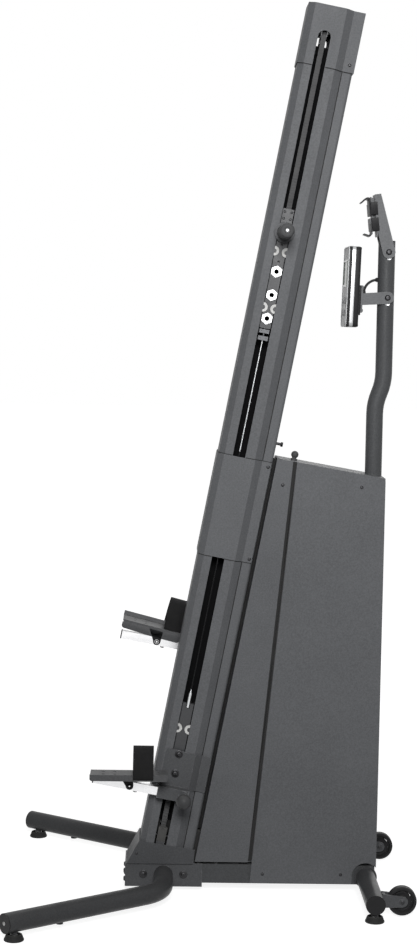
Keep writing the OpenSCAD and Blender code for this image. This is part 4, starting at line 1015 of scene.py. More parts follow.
fixing = {
    "washer": [(0, 0.0108), (0.0006, 0.0112), (0.0014, 0.0110), (0.0018, 0.0100), (0.0018, 0.0050)],
    "washersBelow": 0.09, "thin": 0.008, "longPin": 0.03, "pinHead": 0.0045, "pinRadius": 0.0039,
    "shank": [(-0.0105, 0.0039), (0.0035, 0.0039)],
    "hexHead": [(0.0035, 0.0062), (0.0042, 0.0070), (0.0088, 0.0070), (0.0095, 0.0062)],
}
fixings = []
for low, high in islandBoxes("frame_fasteners"):
    size, centre = high - low, (low + high) / 2
    outward = -1 if centre.y < 0 else 1
    if size.y < fixing["thin"] and abs(size.x - size.z) < 0.001:
        start = Vector((centre.x, low.y if outward > 0 else high.y, centre.z))
        screw = buttonScrew(size.x / 2, size.y)
        fixings.append(place(screw, alongAxis(start, (0, outward, 0))))
        if centre.z < fixing["washersBelow"] and centre.x < 0:
            fixings.append(place(turned(fixing["washer"], 36), alongAxis(start, (0, outward, 0))))
    elif size.x < fixing["thin"] and abs(size.y - size.z) < 0.001:
        screw = buttonScrew(size.y / 2, size.x)
        fixings.append(place(screw, alongAxis(Vector((high.x, centre.y, centre.z)), (-1, 0, 0))))
    elif size.y > fixing["longPin"]:
        # pivot pin of the console or the phone holder, with a head at each end
        half = size.y / 2 - fixing["pinHead"]
        pin = turned([(-half, fixing["pinRadius"]), (half, fixing["pinRadius"])], 24)
        fixings.append(place(pin, alongAxis(centre, (0, 1, 0))))
        for way in (-1, 1):
            screw = buttonScrew(size.x / 2, fixing["pinHead"])
            fixings.append(place(screw, alongAxis(centre + sideways * way * half, (0, way, 0))))
    else:
        # hexagon stand-off bolt on the back of the mast
        for part in (turned(fixing["shank"], 24), turned(fixing["hexHead"], 6)):
            fixings.append(place(part, alongAxis(centre, mastAcross)))
finishPiece(joinPieces(fixings), "frameScrews", "frame", "boltBlack", replaced="frame_fasteners")
print("screws made")


# levelling feet

foot = {
    "pad": [(0, 0.0236), (0.0012, 0.0250), (0.0042, 0.0250), (0.0052, 0.0241), (0.0060, 0.0238),
            (0.0128, 0.0211), (0.0150, 0.0203), (0.0160, 0.0188), (0.0160, 0.0172), (0.0152, 0.0163),
            (0.0110, 0.0160)],
    "nut": [(0.0108, 0.0088), (0.0114, 0.0097), (0.0158, 0.0097), (0.0164, 0.0088)],
    "studRadius": 0.005, "studFrom": 0.0162, "studTo": 0.0318, "threadPitch": 0.0015,
}


def threadedStud(radius, low, high, pitch, rootDepth=0.0006, sides=28):
    steps = [(low, radius - rootDepth)]
    height = low
    while height + pitch < high:
        steps += [(height + pitch * 0.35, radius), (height + pitch * 0.55, radius),
                  (height + pitch, radius - rootDepth)]
        height += pitch
    steps += [(high - 0.0004, radius - rootDepth), (high, radius - rootDepth * 2)]
    return turned(steps, sides)


pads, studs = [], []
for low, high in islandBoxes("levelling_feet"):
    base = Vector(((low.x + high.x) / 2, (low.y + high.y) / 2, low.z))
    pads.append(place(turned(foot["pad"], 56), Matrix.Translation(base)))
    studs.append(place(turned(foot["nut"], 6), Matrix.Translation(base)))
    stud = threadedStud(foot["studRadius"], foot["studFrom"], foot["studTo"], foot["threadPitch"])
    studs.append(place(stud, Matrix.Translation(base)))
finishPiece(joinPieces(pads), "footPads", "frame", "footRubber", replaced="levelling_feet")
finishPiece(joinPieces(studs), "footStuds", "frame", "brightZinc")
print("feet made")


# handgrips

grip = {
    "below": 0.544,
    "stub": 0.046, "face": 0.071, "flange": 0.027, "end": 0.191, "radius": 0.019,
    "rings": 15, "ringPitch": 0.0062, "ringFrom": 0.0865,
}


def gripSteps():
    steps = [(grip["face"] + 0.004, 0.0150), (0.0750, 0.0192), (0.0762, 0.0200), (0.0822, 0.0200),
             (0.0838, 0.0190), (0.0852, grip["radius"] - 0.0004)]
    for index in range(grip["rings"]):
        start = grip["ringFrom"] + index * grip["ringPitch"]
        steps += [(start, grip["radius"] - 0.0003), (start + 0.0004, grip["radius"] - 0.0013),
                  (start + 0.0014, grip["radius"] - 0.0013), (start + 0.0018, grip["radius"] - 0.0003),
                  (start + 0.0038, grip["radius"])]
    steps += [(0.1812, grip["radius"]), (0.1860, grip["radius"] - 0.0006), (0.1892, grip["radius"] - 0.0026),
              (0.1906, grip["radius"] - 0.0056), (grip["end"], grip["radius"] - 0.0086)]
    return steps + [(grip["end"] - 0.0010, 0.0072), (grip["end"] - 0.0022, 0.0068)]


for sideName, sign, lift in sides:
    at = onMast(0, 0, lift - grip["below"])
    axle = alongAxis(at, sideways * sign)
    carriage = sideName + "_carriage"
    flange = turned([(grip["stub"], 0.0095), (grip["stub"] + 0.001, 0.0100), (grip["face"], 0.0100),
                     (grip["face"], 0.0262), (grip["face"] + 0.0008, 0.0270), (grip["face"] + 0.0032, 0.0270),
                     (grip["face"] + 0.0040, 0.0260), (grip["face"] + 0.0040, 0.0150)], 56)
    finishPiece(place(flange, axle), sideName + "GripFlange", carriage, "bracketCoat",
                replaced=sideName + "_handgrip")
    finishPiece(place(turned(gripSteps(), 48), axle), sideName + "GripRubber", carriage, "gripRubber")
    bolt = buttonScrew(0.0058, 0.0030)
    finishPiece(place(bolt, alongAxis(at + sideways * sign * (grip["end"] - 0.0022), sideways * sign)),
                sideName + "GripBolt", carriage, "brightZinc")
print("handgrips made")


# threads in the spare handle sockets

socket = {"radius": 0.00635, "depth": 0.0182, "pitch": 0.00195, "crest": 0.0007}
socketMounts = [m for m in frame["record"]["mounts"] if "handle_socket" in m["name"]]
for sideName in ("right", "left"):
    threads = []
    for mount in socketMounts:
        if not mount["name"].startswith(sideName):
            continue
        outward = Vector(mount["axis"])
        clearSelection()
        bpy.ops.mesh.primitive_circle_add(vertices=3, radius=socket["crest"], fill_type="NGON",
                                          rotation=(math.radians(90), math.radians(90), 0),
                                          location=(socket["radius"] - socket["crest"] * 0.35, 0, 0))
        thread = settle(bpy.context.object)
        turns = int(socket["depth"] / socket["pitch"])
        wind(thread, socket["pitch"], turns, 28)
        start = Vector(mount["pos_m"]) - outward * (socket["depth"] / 2 - 0.0005)
        threads.append(place(thread, alongAxis(start, outward)))
    thread = joinPieces(threads)
    cleanUp(thread)
    finishPiece(thread, sideName + "SocketThreads", sideName + "_carriage", "boltBlack")
print("socket threads made")


# foot straps: a webbing loop with a stitched flap on its outer side

strap = {
    "from": 0.009, "wide": 0.054, "thick": 0.0022,
    "inner": 0.0797, "outer": 0.1799, "foot": 0.0380, "hem": 0.0345,
    "top": {"right": 0.1135, "left": 0.1200},
    "flapLift": 0.0026, "flapEnd": 58, "flapNarrower": 0.955, "bow": 0.0014, "insideBow": 0.0006,
    "flatter": 0.030, "lower": 0.012, "seamIn": 0.0042, "mapLength": 0.3,
    "stitch": (0.0030, 0.0008, 0.0006), "stitchPitch": 0.0046,
}


def pedalFrame(sideName):
    # turns distances from the pivot, ahead, aside and up, into places
    pivot = Vector(joints[sideName + "_pedal_tilt"]["pos_m"])
    tilt = math.radians(leftPedalTilt if sideName == "left" else 0)
    ahead = Vector((math.cos(tilt), 0, -math.sin(tilt)))
    up = Vector((math.sin(tilt), 0, math.cos(tilt)))
    pivot.y = 0
    return frameAt(pivot, ahead, up.cross(ahead), up)


def strapPath(top, lift, startAngle, endAngle, low):
    # (y, z) points up one leg and round the arch, from the outer side to the inner
    centre = (strap["inner"] + strap["outer"]) / 2
    reach = (strap["outer"] - strap["inner"]) / 2 + lift
    rise = top - (strap["outer"] - strap["inner"]) / 2
    points = []
    if low is not None:
        for step in range(7):
            height = low + (rise - low) * step / 7
            bow = strap["bow"] * math.sin(math.pi * step / 7)
            points.append((centre + reach + bow, height))
    for step in range(25):
        angle = math.radians(startAngle + (endAngle - startAngle) * step / 24)
        corner = math.sin(2 * angle) ** 2
        points.append((centre + reach * math.cos(angle) * (1 - strap["flatter"] * corner),
                       rise + reach * math.sin(angle) * (1 - strap["lower"] * corner)))
    return points


def ribbon(points, sign):
    # a strip of webbing drawn along (y, z) points, with the length along it as its U
    clearSelection()
    bpy.ops.mesh.primitive_plane_add(size=strap["wide"], location=(0, 0, 0))
    piece = settle(bpy.context.object)
    pickEdges(piece, lambda a, b: False)
    bpy.ops.mesh.select_mode(type="VERT")
    mesh = bmesh.from_edit_mesh(piece.data)
    for vertex in mesh.verts:
        vertex.select_set(vertex.co.y > 0)
    bmesh.update_edit_mesh(piece.data)
    bpy.ops.mesh.delete(type="VERT")
    bpy.ops.mesh.select_all(action="SELECT")
    centre = strap["from"] + strap["wide"] / 2
    first = points[0]
    bpy.ops.transform.translate(value=(centre, sign * first[0] + strap["wide"] / 2, first[1]))
    for (y0, z0), (y1, z1) in zip(points, points[1:]):
        extrudeBy(0, sign * (y1 - y0), z1 - z0)
    objectMode()
    lengths = [0.0]
    for (y0, z0), (y1, z1) in zip(points, points[1:]):
        lengths.append(lengths[-1] + math.hypot(y1 - y0, z1 - z0))
    layers = piece.data.uv_layers
    uvLayer = layers[0] if layers else layers.new(name="webbingMap")
    for loop in piece.data.loops:
        across = (piece.data.vertices[loop.vertex_index].co.x - strap["from"]) / strap["wide"]
        uvLayer.data[loop.index].uv = (lengths[loop.vertex_index // 2] / strap["mapLength"], across)
    return piece


def stitchRow(points, sign, across, lift):
    # short threads laid along a path, a little proud of the webbing
    row, travelled, due = [], 0.0, strap["stitchPitch"]
    for (y0, z0), (y1, z1) in zip(points, points[1:]):
        length = math.hypot(y1 - y0, z1 - z0)
        while due < travelled + length:
            share = (due - travelled) / length
            along = Vector((0, sign * (y1 - y0), z1 - z0)).normalized()
            outward = Vector((1, 0, 0)).cross(along) * sign
            at = Vector((across, sign * (y0 + (y1 - y0) * share), z0 + (z1 - z0) * share))
            row.append((at + outward * lift, along, outward))
            due += strap["stitchPitch"]
        travelled += length
    return row


def stitchPiece():
    thread = block(strap["stitch"])
    pickEdges(thread, lambda a, b: True)
    bevelBy(0.00025, 2)
    objectMode()
    return thread


for sideName, sign, lift in sides:
    matrix = pedalFrame(sideName)
    top = strap["top"][sideName]
    loopPath = strapPath(top, 0, 0, 180, strap["hem"])
    rise = top - (strap["outer"] - strap["inner"]) / 2
    loopPath += [(strap["inner"] + strap["insideBow"] * math.sin(math.pi * k / 4),
                  rise + (strap["foot"] - rise) * k / 4) for k in range(1, 5)]
    band = ribbon(loopPath, sign)
    thicken(band, strap["thick"], 0.0)
    soften(band, 0.0005, 60)
    finishPiece(place(band, matrix), sideName + "StrapLoop", sideName + "_footplate", "webbing",
                replaced=sideName + "_foot_strap")
    flapPath = strapPath(top, strap["flapLift"], 0, strap["flapEnd"], strap["hem"] + 0.003)
    flap = ribbon(flapPath, sign)
    editMode(flap)
    bpy.ops.mesh.select_all(action="SELECT")
    bpy.ops.transform.resize(value=(strap["flapNarrower"], 1, 1))
    objectMode()
    thicken(flap, strap["thick"], 0.0)
    soften(flap, 0.0006, 60)
    finishPiece(place(flap, matrix), sideName + "StrapFlap", sideName + "_footplate", "webbing")
    rows = []
    for across in (strap["from"] + strap["seamIn"], strap["from"] + strap["wide"] - strap["seamIn"]):
        rows += stitchRow(flapPath, sign, across, strap["thick"] / 2 + 0.0001)
    model = stitchPiece()
    threads = []
    for at, along, outward in rows:
        thread = copyOf(model)
        side = outward.cross(along)
        threads.append(place(thread, frameAt(at, along, side, along.cross(side))))
    bpy.data.objects.remove(model)
    finishPiece(place(joinPieces(threads), matrix), sideName + "StrapStitches", sideName + "_footplate",
                "stitchThread")
print("foot straps made")


# pedals: inner skirts, tube plugs, stop screws and bracket bolts

def plate(outline, thickness):
    # a flat plate on the XZ plane: an outline drawn point by point, filled and made thick along Y
    clearSelection()
    bpy.ops.mesh.primitive_plane_add(size=1, location=(0, 0, 0))
    piece = settle(bpy.context.object)
    bpy.ops.object.mode_set(mode="EDIT")
    bpy.ops.mesh.select_mode(type="VERT")
    bpy.ops.mesh.select_all(action="DESELECT")
    mesh = bmesh.from_edit_mesh(piece.data)
    for vertex in mesh.verts:
        vertex.select_set(vertex.co.x > 0 or vertex.co.y > 0)
    bmesh.update_edit_mesh(piece.data)
    bpy.ops.mesh.delete(type="VERT")
    bpy.ops.mesh.select_all(action="SELECT")
    bpy.ops.transform.translate(value=(outline[0][0] + 0.5, 0.5, outline[0][1]))
    for (x0, z0), (x1, z1) in zip(outline, outline[1:]):
        extrudeBy(x1 - x0, 0, z1 - z0)
    bpy.ops.mesh.select_all(action="SELECT")
    bpy.ops.mesh.edge_face_add()
    extrudeBy(0, thickness, 0)
    closeEdit()
    return piece


def cornerArc(x, z, radius, start, end, steps=5):
    angles = [math.radians(start + (end - start) * k / steps) for k in range(steps + 1)]
    return [(x + radius * math.cos(a), z + radius * math.sin(a)) for a in angles]


pedal = {
    "inner": 0.0742, "skirtThick": 0.0025, "skirtBack": -0.10404, "skirtFront": 0.062,
    "skirtTop": 0.0302, "skirtLow": 0.0100, "corner": 0.008,
    "tubeLevel": -2.056, "tubeFront": -0.20875, "tubeSide": 0.022, "tubeAt": 0.0885,
    "stopScrewAt": -0.09475, "boltAcross": 0.0015, "boltFace": 0.0725, "boltRise": (0.050, 0.103),
    "stopScrew": [(-0.0040, 0.0030), (0, 0.0030), (0, 0.0052), (0.0006, 0.0057), (0.0040, 0.0057),
                  (0.0046, 0.0051)],
    "washer": [(0, 0.0108), (0.0008, 0.0110), (0.0016, 0.0106), (0.0022, 0.0088), (0.0022, 0.0060)],
    "screw": (0.0084, 0.0066), "plugWider": 0.0012, "plugHigh": 0.0022, "plugDeep": 0.012,
}


def skirtOutline():
    low, high, corner = pedal["skirtLow"], pedal["skirtTop"], pedal["corner"]
    points = [(pedal["skirtBack"], high)]
    points += cornerArc(pedal["skirtBack"] + corner, low + corner + 0.003, corner, 180, 260)
    points += [(-0.036, low + 0.0004), (-0.020, low), (pedal["skirtFront"] - 0.016, low)]
    points += cornerArc(pedal["skirtFront"] - 0.012, low + 0.012, 0.012, 280, 360)
    return points + [(pedal["skirtFront"], high)]


for sideName, sign, lift in sides:
    matrix = pedalFrame(sideName)
    tubeLevel = pedal["tubeLevel"] + lift
    skirt = plate(skirtOutline(), pedal["skirtThick"])
    place(skirt, Matrix.Translation((0, pedal["inner"], 0)))
    soften(skirt, 0.0005, 50)
    if sign < 0:
        place(skirt, Matrix.Scale(-1, 4, (0, 1, 0)))
        cleanUp(skirt)
    finishPiece(place(skirt, matrix), sideName + "PedalSkirt", sideName + "_footplate", "pedalCoat")

    # black plug in the front end of the pedal tube
    plugSide = pedal["tubeSide"] + pedal["plugWider"]
    plug = block((plugSide, plugSide, pedal["plugHigh"]), (0, 0, pedal["plugHigh"] / 2))
    pickEdges(plug, lambda a, b: abs(a.z - b.z) > 0.001)
    bevelBy(0.0022, 4)
    objectMode()
    pickFaces(plug, lambda c, n: n.z > 0.9)
    insetBy(0.0016, 0.0008)
    objectMode()
    pickFaces(plug, lambda c, n: n.z < -0.9)
    insetBy(0.0030)
    extrudeBy(0, 0, -pedal["plugDeep"])
    bpy.ops.transform.resize(value=(0.96, 0.96, 1))
    objectMode()
    end = onMast(pedal["tubeFront"], sign * pedal["tubeAt"], tubeLevel)
    finishPiece(place(plug, alongAxis(end, -mastAcross, mastAlong)), sideName + "TubePlug",
                sideName + "_pedal_arm", "capPlastic")

    # stop screw under the tube
    screw = turned(pedal["stopScrew"], 6)
    under = onMast(pedal["stopScrewAt"], sign * pedal["tubeAt"], tubeLevel - pedal["tubeSide"] / 2)
    finishPiece(place(screw, alongAxis(under, -mastAlong)), sideName + "StopScrew", sideName + "_pedal_arm",
                "boltBlack")

    # dished washers and socket screws on the foot bracket
    bolts = []
    for rise in pedal["boltRise"]:
        at = onMast(pedal["boltAcross"], sign * pedal["boltFace"], tubeLevel + rise)
        bolts.append(place(turned(pedal["washer"], 40), alongAxis(at, sideways * sign)))
        bolts.append(place(buttonScrew(*pedal["screw"]), alongAxis(at, sideways * sign)))
    finishPiece(joinPieces(bolts), sideName + "BracketBolts", sideName + "_carriage", "boltBlack")
print("pedal fittings made")


# tie cables: six strands laid over the core

cable = {"low": -1.783, "high": -0.831, "side": 0.05575, "strand": 0.00058, "lay": 0.00118, "pitch": 0.0238}

for sideName, sign, lift in sides:
    length = cable["high"] - cable["low"]
    turns = round(length / cable["pitch"])
    clearSelection()
    bpy.ops.mesh.primitive_circle_add(vertices=6, radius=cable["strand"], fill_type="NOTHING",
                                      rotation=(math.radians(90), 0, 0), location=(cable["lay"], 0, 0))
    strand = settle(bpy.context.object)
    wind(strand, length / turns, turns, 10)
    strands = [strand]
    for index in range(1, 6):
        strands.append(place(copyOf(strand), Matrix.Rotation(math.radians(60 * index), 4, "Z")))
    rope = capEnds(joinPieces(strands))
    start = onMast(0, sign * cable["side"], cable["low"] + lift)
    finishPiece(place(rope, alongAxis(start, mastAlong)), sideName + "CableStrands", sideName + "_carriage",
                sideName + "TieSteel")
print("cable strands made")


# console: pale front, black step, satin band and black back shell

console = {
    "front": 0.3282, "low": 1.519, "tilt": 1.57, "wide": 0.145, "high": 0.213,
    "panel": 0.0016, "step": 0.0070, "band": 0.0104, "shell": 0.0141, "corner": 0.013,
    "screenWide": 0.104, "screenHigh": 0.072, "screenAt": 0.142,
    "buttonRadius": 0.0085, "buttonRows": (0.038, 0.070), "buttonSides": (-0.040, 0.0, 0.040),
    "button": ((0, 1), (0.0008, 1), (0.0016, 0.94), (0.0020, 0.80), (0.0016, 0.45)),
    "bossLow": 0.033, "bossHigh": 0.112, "bossWide": 0.078, "bossTo": 0.0405, "bossFlare": (1, 1.14, 1.10),
}
consoleFrame = Matrix.Translation((console["front"], 0, console["low"])) @ Matrix.Rotation(
    math.radians(console["tilt"]), 4, "Y")


def consoleSlab(front, back, inset, edge):
    # one layer of the console, from front to back, held in from the outline by inset
    piece = roundedSlab((back - front, console["wide"] - 2 * inset, console["high"] - 2 * inset),
                        console["corner"] - inset, edge)
    return place(piece, Matrix.Translation(((front + back) / 2, 0, console["high"] / 2)))


stepEnd = console["panel"] + console["step"]
bandEnd = stepEnd + console["band"]
shellEnd = bandEnd + console["shell"]

panel = consoleSlab(0, console["panel"] + 0.001, 0.0008, 0.0006)
pickFaces(panel, lambda c, n: n.x < -0.9)
insetBy(0.0035)
extrudeBy(0.0006, 0, 0)
objectMode()
finishPiece(place(panel, consoleFrame), "consoleFront", "console", "framePlastic", replaced="console_bezel")

step = consoleSlab(console["panel"], stepEnd, 0.0004, 0.0004)
finishPiece(place(step, consoleFrame), "consoleStep", "console", "shellPlastic")

band = consoleSlab(stepEnd, bandEnd, 0, 0.0011)
finishPiece(place(band, consoleFrame), "consoleBand", "console", "satinBand")

shell = consoleSlab(bandEnd, shellEnd, 0.0006, 0)
pickFaces(shell, lambda c, n: n.x > 0.9)
insetBy(0.0062)
objectMode()
pickFaces(shell, lambda c, n: n.x > 0.9 and abs(c.y) < 0.03 and abs(c.z - console["high"] / 2) < 0.05)
insetBy(0.0035, -0.0008)
objectMode()
rimDepth = 0.0012


def onShellRim(a, b):
    if min(a.x, b.x) <= shellEnd - 1e-5:
        return False
    return (abs(a.x - b.x) < 1e-6 and max(abs(a.y), abs(b.y)) > console["wide"] / 2 - rimDepth
            or max(a.z, b.z) > console["high"] - rimDepth or min(a.z, b.z) < rimDepth)


pickEdges(shell, onShellRim)
bevelBy(0.0055, 4)
objectMode()
finishPiece(place(shell, consoleFrame), "consoleShell", "console", "shellPlastic",
            replaced="console_back_shell")

bossMiddle = (console["bossHigh"] + console["bossLow"]) / 2
bossSunk = 0.002
boss = roundedSlab((console["bossTo"] - shellEnd + bossSunk, console["bossWide"],
                    console["bossHigh"] - console["bossLow"]), 0.007, 0.0009)
place(boss, Matrix.Translation(((console["bossTo"] + shellEnd - bossSunk) / 2, 0, bossMiddle)))
pickFaces(boss, lambda c, n: n.x < -0.9)
bpy.ops.transform.resize(value=console["bossFlare"], center_override=(0, 0, bossMiddle))
objectMode()
finishPiece(place(boss, consoleFrame), "consoleBoss", "console", "shellPlastic")

screen = roundedSlab((0.0016, console["screenWide"], console["screenHigh"]), 0.004, 0.0003)
place(screen, Matrix.Translation((0.0006, 0, console["screenAt"])))
pickFaces(screen, lambda c, n: n.x < -0.9)
insetBy(0.0060)
extrudeBy(0.0005, 0, 0)
objectMode()
finishPiece(place(screen, consoleFrame), "consoleScreen", "console", "screenPaintedReflection")

buttons = []
model = turned([(height, console["buttonRadius"] * share) for height, share in console["button"]], 36)
for row in console["buttonRows"]:
    for side in console["buttonSides"]:
        at = Vector((0.0007, side, row))
        buttons.append(place(copyOf(model), alongAxis(at, (-1, 0, 0))))
bpy.data.objects.remove(model)
finishPiece(place(joinPieces(buttons), consoleFrame), "consoleButtons", "console", "buttonGrey")
print("console made")


# phone holder: jaw pads that wrap the arm, and slots under both pivots

holder = {
    "at": (0.3965, 0, 1.7565), "lean": -6, "wide": 0.0640, "face": 0.0012, "back": 0.0218, "wall": 0.0026,
    "upper": (0.0590, 0.0920), "lower": (0.0165, 0.0505),
    "slot": [(0, 0.0030), (0.0005, 0.0034), (0.0009, 0.0034), (0.0010, 0.0030), (0.0004, 0.0022)],
    "slotLonger": 1.6, "slotAhead": 0.001, "slotFace": 0.02205, "slotBelow": 0.0178,
}
holderFrame = Matrix.Translation(holder["at"]) @ Matrix.Rotation(math.radians(holder["lean"]), 4, "Y")
for name, body, key in (("upperJawPad", "claw", "upper"), ("lowerJawPad", "phone_holder", "lower")):
    low, high = holder[key]
    jaw = block((holder["back"] - holder["face"], holder["wide"], high - low),
                ((holder["face"] + holder["back"]) / 2, 0, (low + high) / 2))
    pickFaces(jaw, lambda c, n: n.x < -0.9)
    bevelBy(0.0035, 4)
    objectMode()
    pickFaces(jaw, lambda c, n: n.x > 0.9)
    bpy.ops.mesh.delete(type="FACE")
    objectMode()
    pickFaces(jaw, lambda c, n: abs(n.z) > 0.9)
    bpy.ops.mesh.delete(type="FACE")
    objectMode()
    thicken(jaw, holder["wall"], -1)
    cleanUp(jaw)
    soften(jaw, 0.0007, 50)
    finishPiece(place(jaw, holderFrame), name, body, "shellPlastic", smooth=22)

slots = []
for jointName in ("console_tilt", "phone_holder_tilt"):
    at = Vector(joints[jointName]["pos_m"])
    for way in (-1, 1):
        mark = place(turned(holder["slot"], 24), Matrix.Scale(holder["slotLonger"], 4, (1, 0, 0)))
        spot = Vector((at.x + holder["slotAhead"], way * holder["slotFace"], at.z - holder["slotBelow"]))
        slots.append(place(mark, alongAxis(spot, (0, way, 0), (1, 0, 0))))
finishPiece(joinPieces(slots), "postSlots", "frame", "brightZinc")
print("holder made")


# console lead, from the post down to the console's bracket

lead = {
    "leaves": (0.4245, 0, 1.6455), "clears": (0.4210, 0, 1.6455), "bend": 0.0362,
    "centre": (0.4175, 0, 1.6093), "thick": 0.007,
    "grommetAt": (0.4172, 0, 1.6455), "bootAt": (0.3813, 0, 1.6093),
    "grommet": [(0, 0.0052), (0.0006, 0.0062), (0.0022, 0.0062), (0.0030, 0.0054), (0.0060, 0.0044),
                (0.0062, 0.0037)],
    "boot": [(-0.0004, 0.0058), (0.0010, 0.0060), (0.0030, 0.0056), (0.0120, 0.0041), (0.0124, 0.0037)],
}
route = [Vector(lead["leaves"]), Vector(lead["clears"])]
for index in range(15):
    angle = math.radians(90 + 90 * index / 14)
    route.append(Vector((lead["centre"][0] + lead["bend"] * math.cos(angle), 0,
                         lead["centre"][2] + lead["bend"] * math.sin(angle))))
clearSelection()
bpy.ops.curve.primitive_nurbs_path_add(location=(0, 0, 0))
tube = bpy.context.object
line = tube.data
line.splines.clear()
spline = line.splines.new("POLY")
spline.points.add(len(route) - 1)
for point, at in zip(spline.points, route):
    point.co = (*at, 1)
line.bevel_depth = lead["thick"] / 2
line.bevel_resolution = 5
line.use_fill_caps = True
makeActive(tube)
bpy.ops.object.convert(target="MESH")
tube = bpy.context.object
finishPiece(tube, "consoleLead", None, "capPlastic", replaced="console_lead")
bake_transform(tube)

for key, name, body, way in (
    ("grommet", "leadGrommet", "frame", (-1, 0, 0)),
    ("boot", "leadBoot", "console", (0, 0, 1)),
):
    ring = turned(lead[key], 32)
    finishPiece(place(ring, alongAxis(Vector(lead[key + "At"]), way)), name, body, "capPlastic")
print("lead made")


# dark strips as painted shade: in the gap behind the mast, webs by the lower pulley and strips in the housing's
# grooves

gapShade = {"across": 0.0966, "thick": 0.0089, "wide": 0.020, "low": -2.156, "high": -1.132,
        "shortSide": 0.036, "shortLow": -2.241, "shortHigh": -2.154, "corner": 0.0012, "lip": 0.0022,
        "hollow": 0.0030, "webAcross": 0.0144, "webThick": 0.003, "webWide": 0.0115,
        "webRuns": ((-2.240, -2.2052), (-2.1868, -2.1515))}
# a dark strip filling the gap behind the mast: painted shade in the gap
strip = roundedSlab((gapShade["thick"], gapShade["wide"], gapShade["high"] - gapShade["low"]), gapShade["corner"], 0)
for way in (-1, 1):
    pickFaces(strip, lambda c, n: n.y * way > 0.9)
    insetBy(gapShade["lip"])
    extrudeBy(0, -way * gapShade["hollow"], 0)
    objectMode()
middle = onMast(gapShade["across"], 0, (gapShade["low"] + gapShade["high"]) / 2)
finishPiece(place(strip, frameAt(middle, mastAcross, sideways, mastAlong)), "gapShadeFiller", "frame", "footRubber")

# short dark strips each side of the lower shaft, continuing the gap's painted shade, and dark webs beside the
# lower pulley as painted shade inside the mast
shorts = []
for way in (-1, 1):
    size = (gapShade["thick"], gapShade["wide"], gapShade["shortHigh"] - gapShade["shortLow"])
    piece = roundedSlab(size, gapShade["corner"], 0.0004)
    at = onMast(gapShade["across"], way * gapShade["shortSide"], (gapShade["shortLow"] + gapShade["shortHigh"]) / 2)
    shorts.append(place(piece, frameAt(at, mastAcross, sideways, mastAlong)))
finishPiece(joinPieces(shorts), "shaftShadeFillers", "frame", "footRubber")
webs = []
for across in (-gapShade["webAcross"], gapShade["webAcross"]):
    for low, high in gapShade["webRuns"]:
        piece = roundedSlab((gapShade["webThick"], gapShade["webWide"], high - low), 0.0018, 0.0004)
        at = onMast(across, 0, (low + high) / 2)
        webs.append(place(piece, frameAt(at, sideways, -mastAcross, mastAlong)))
finishPiece(joinPieces(webs), "pulleyShadeWebs", "frame", "footRubber")

# dark strips lying in the housing's grooves: painted shade in the grooves
groove = {
    "foot": 0.1112, "footLevel": 0.084, "slope": 0.091897, "back": 0.0056, "wide": 0.0094, "face": 0.0601,
    "thick": 0.0024, "low": 0.087, "high": 1.161, "lip": 0.0018, "hollow": 0.0010,
}
for sideName, sign, lift in sides:
    level = (groove["low"] + groove["high"]) / 2
    way = Vector((groove["slope"], 0, 1)).normalized()
    length = (groove["high"] - groove["low"]) / way.z
    strip = roundedSlab((groove["thick"], groove["wide"], length), 0.0008, 0)
    pickFaces(strip, lambda c, n: n.x > 0.9)
    insetBy(groove["lip"])
    extrudeBy(-groove["hollow"], 0, 0)
    objectMode()
    outward = sideways * sign
    at = Vector((groove["foot"] + groove["slope"] * (level - groove["footLevel"]) - groove["back"],
                 sign * (groove["face"] + groove["thick"] / 2), level))
    place(strip, frameAt(at, outward, way.cross(outward), way))
    finishPiece(strip, sideName + "GrooveShadeStrip", "frame", "footRubber")
print("seals made")


# black beads along the mast's seams, and dark strips under the rims of the cap and the middle cover: painted shade
# in the seams and painted shadow under the rims

seam = {
    "beadAcross": 0.1183, "beadSide": 0.0507, "bead": 0.0012, "beadTip": 0.0004, "beadTaper": 0.0006,
    "section": ((0, 0), (0, 0.0515), (0.0155, 0.067), (0.097, 0.067), (0.117, 0.0503), (0.1435, 0.0503)),
    "side": 0.067, "slotHalf": 0.0185, "slotAt": 0.05375, "top": 2.346,
    "gap": 0.00015, "rise": 0.0015, "high": 0.0018,
    "runs": ((0.134, 0.9275), (1.2045, 2.2395)), "rims": (0.92805, 1.20215, 2.24005),
}


def offsetPath(points, distance):
    # the same path moved outward, corners mitred
    moved = []
    for index, point in enumerate(points):
        here = Vector(point)
        before = (here - Vector(points[index - 1])).normalized() if index else None
        after = (Vector(points[index + 1]) - here).normalized() if index < len(points) - 1 else None
        before, after = before or after, after or before
        first, second = (Vector((-way.y, way.x)) for way in (before, after))
        middle = (first + second).normalized()
        moved.append(here + middle * distance / middle.dot(first))
    return moved


# a dark strip just under a rim's edge: painted shadow
def rimShadowBand(points, way):
    inner = offsetPath(points, seam["gap"])
    outer = offsetPath(points, seam["rise"])
    return plate([(p.x, p.y * way) for p in inner + outer[::-1]], seam["high"])


sectionPath = [Vector(p) for p in seam["section"]]
beads, rims = [], []
for way in (-1, 1):
    for low, high in seam["runs"]:
        length = high - low
        bead = turned([(0, seam["beadTip"]), (seam["beadTaper"], seam["bead"]),
                       (length - seam["beadTaper"], seam["bead"]), (length, seam["beadTip"])], 14)
        at = onMast(seam["beadAcross"] - seam["slotAt"], way * seam["beadSide"], low - seam["top"])
        beads.append(place(bead, alongAxis(at, mastAlong)))
    front = sectionPath[:3] + [Vector((seam["slotAt"] - seam["slotHalf"], seam["side"]))]
    back = [Vector((seam["slotAt"] + seam["slotHalf"], seam["side"]))] + sectionPath[3:]
    for level in seam["rims"]:
        for path in (front, back):
            strip = rimShadowBand(path, way)
            # the plate's own X, Y and Z become across, along and beside
            at = onMast(-seam["slotAt"], 0, level - seam["top"])
            rims.append(place(strip, frameAt(at, mastAcross, mastAlong, mastAcross.cross(mastAlong))))
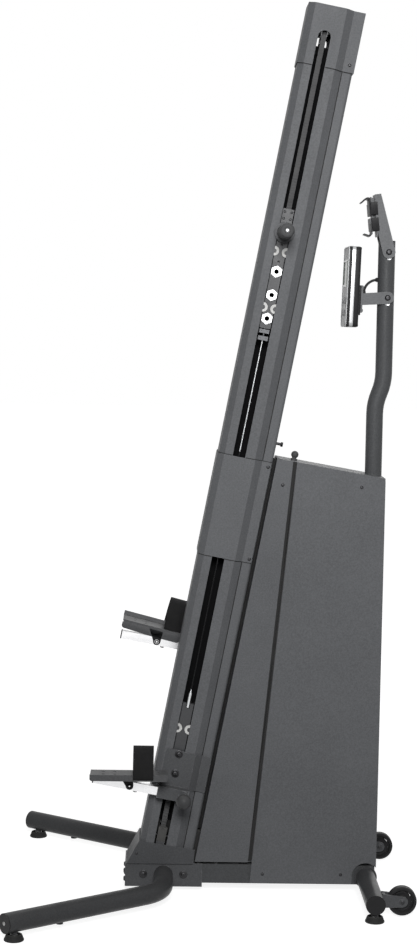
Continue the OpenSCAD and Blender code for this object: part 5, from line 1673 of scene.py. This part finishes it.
for piece in rims:
    cleanUp(piece)
finishPiece(joinPieces(beads), "seamShadeBeads", "frame", "footRubber")
finishPiece(joinPieces(rims), "rimShadowStrips", "frame", "footRubber")
print("seams made")


# small things: hinge caps, wheel discs, axle screws and a plug in each leg cap

hinge = {"faces": ((0.0742, -1), (0.1027, 1)), "cap": (0.0069, 0.0042)}
for sideName, sign, lift in sides:
    pivot = Vector(joints[sideName + "_pedal_tilt"]["pos_m"])
    caps = []
    for face, outward in hinge["faces"]:
        at = Vector((pivot.x, sign * face, pivot.z))
        caps.append(place(buttonScrew(*hinge["cap"]), alongAxis(at, (0, sign * outward, 0))))
    finishPiece(joinPieces(caps), sideName + "HingeCaps", sideName + "_pedal_arm", "capPlastic")

wheel = {
    "x": 0.491, "z": 0.045, "y": 0.270, "web": 0.0038, "fork": 0.0201, "screw": (0.0050, 0.0020),
    "disc": [(0, 0.0243), (0.0012, 0.0243), (0.0020, 0.0231), (0.0012, 0.0211), (0.0012, 0.0150),
             (0.0026, 0.0138)],
}
for sideName, sign, lift in sides:
    discs = []
    for way in (-1, 1):
        disc = turned(wheel["disc"], 48)
        at = Vector((wheel["x"], sign * wheel["y"] + way * wheel["web"], wheel["z"]))
        discs.append(place(disc, alongAxis(at, (0, way, 0))))
    finishPiece(joinPieces(discs), sideName + "WheelDiscs", sideName + "_wheel", "wheelPlastic")
axles = []
for sign in (-1, 1):
    for way in (-1, 1):
        at = Vector((wheel["x"], sign * wheel["y"] + way * wheel["fork"], wheel["z"]))
        axles.append(place(buttonScrew(*wheel["screw"]), alongAxis(at, (0, way, 0))))
finishPiece(joinPieces(axles), "axleScrews", "frame", "boltBlack")

# a pale plug in the middle of each front leg's cap
legEnd = {
    "x": -0.5158, "y": 0.5121, "z": 0.0465, "faces": (-0.8007, 0.5990),
    "plug": [(-0.0004, 0.0046), (0.0004, 0.0050), (0.0010, 0.0046), (0.0013, 0.0034), (0.0010, 0.0020)],
}
plugs = []
for sign in (-1, 1):
    at = Vector((legEnd["x"], sign * legEnd["y"], legEnd["z"]))
    ahead, aside = legEnd["faces"]
    plugs.append(place(turned(legEnd["plug"], 28), alongAxis(at, (ahead, sign * aside, 0))))
finishPiece(joinPieces(plugs), "legPlugs", "frame", "acetal")
print("hinge caps and wheel discs made")
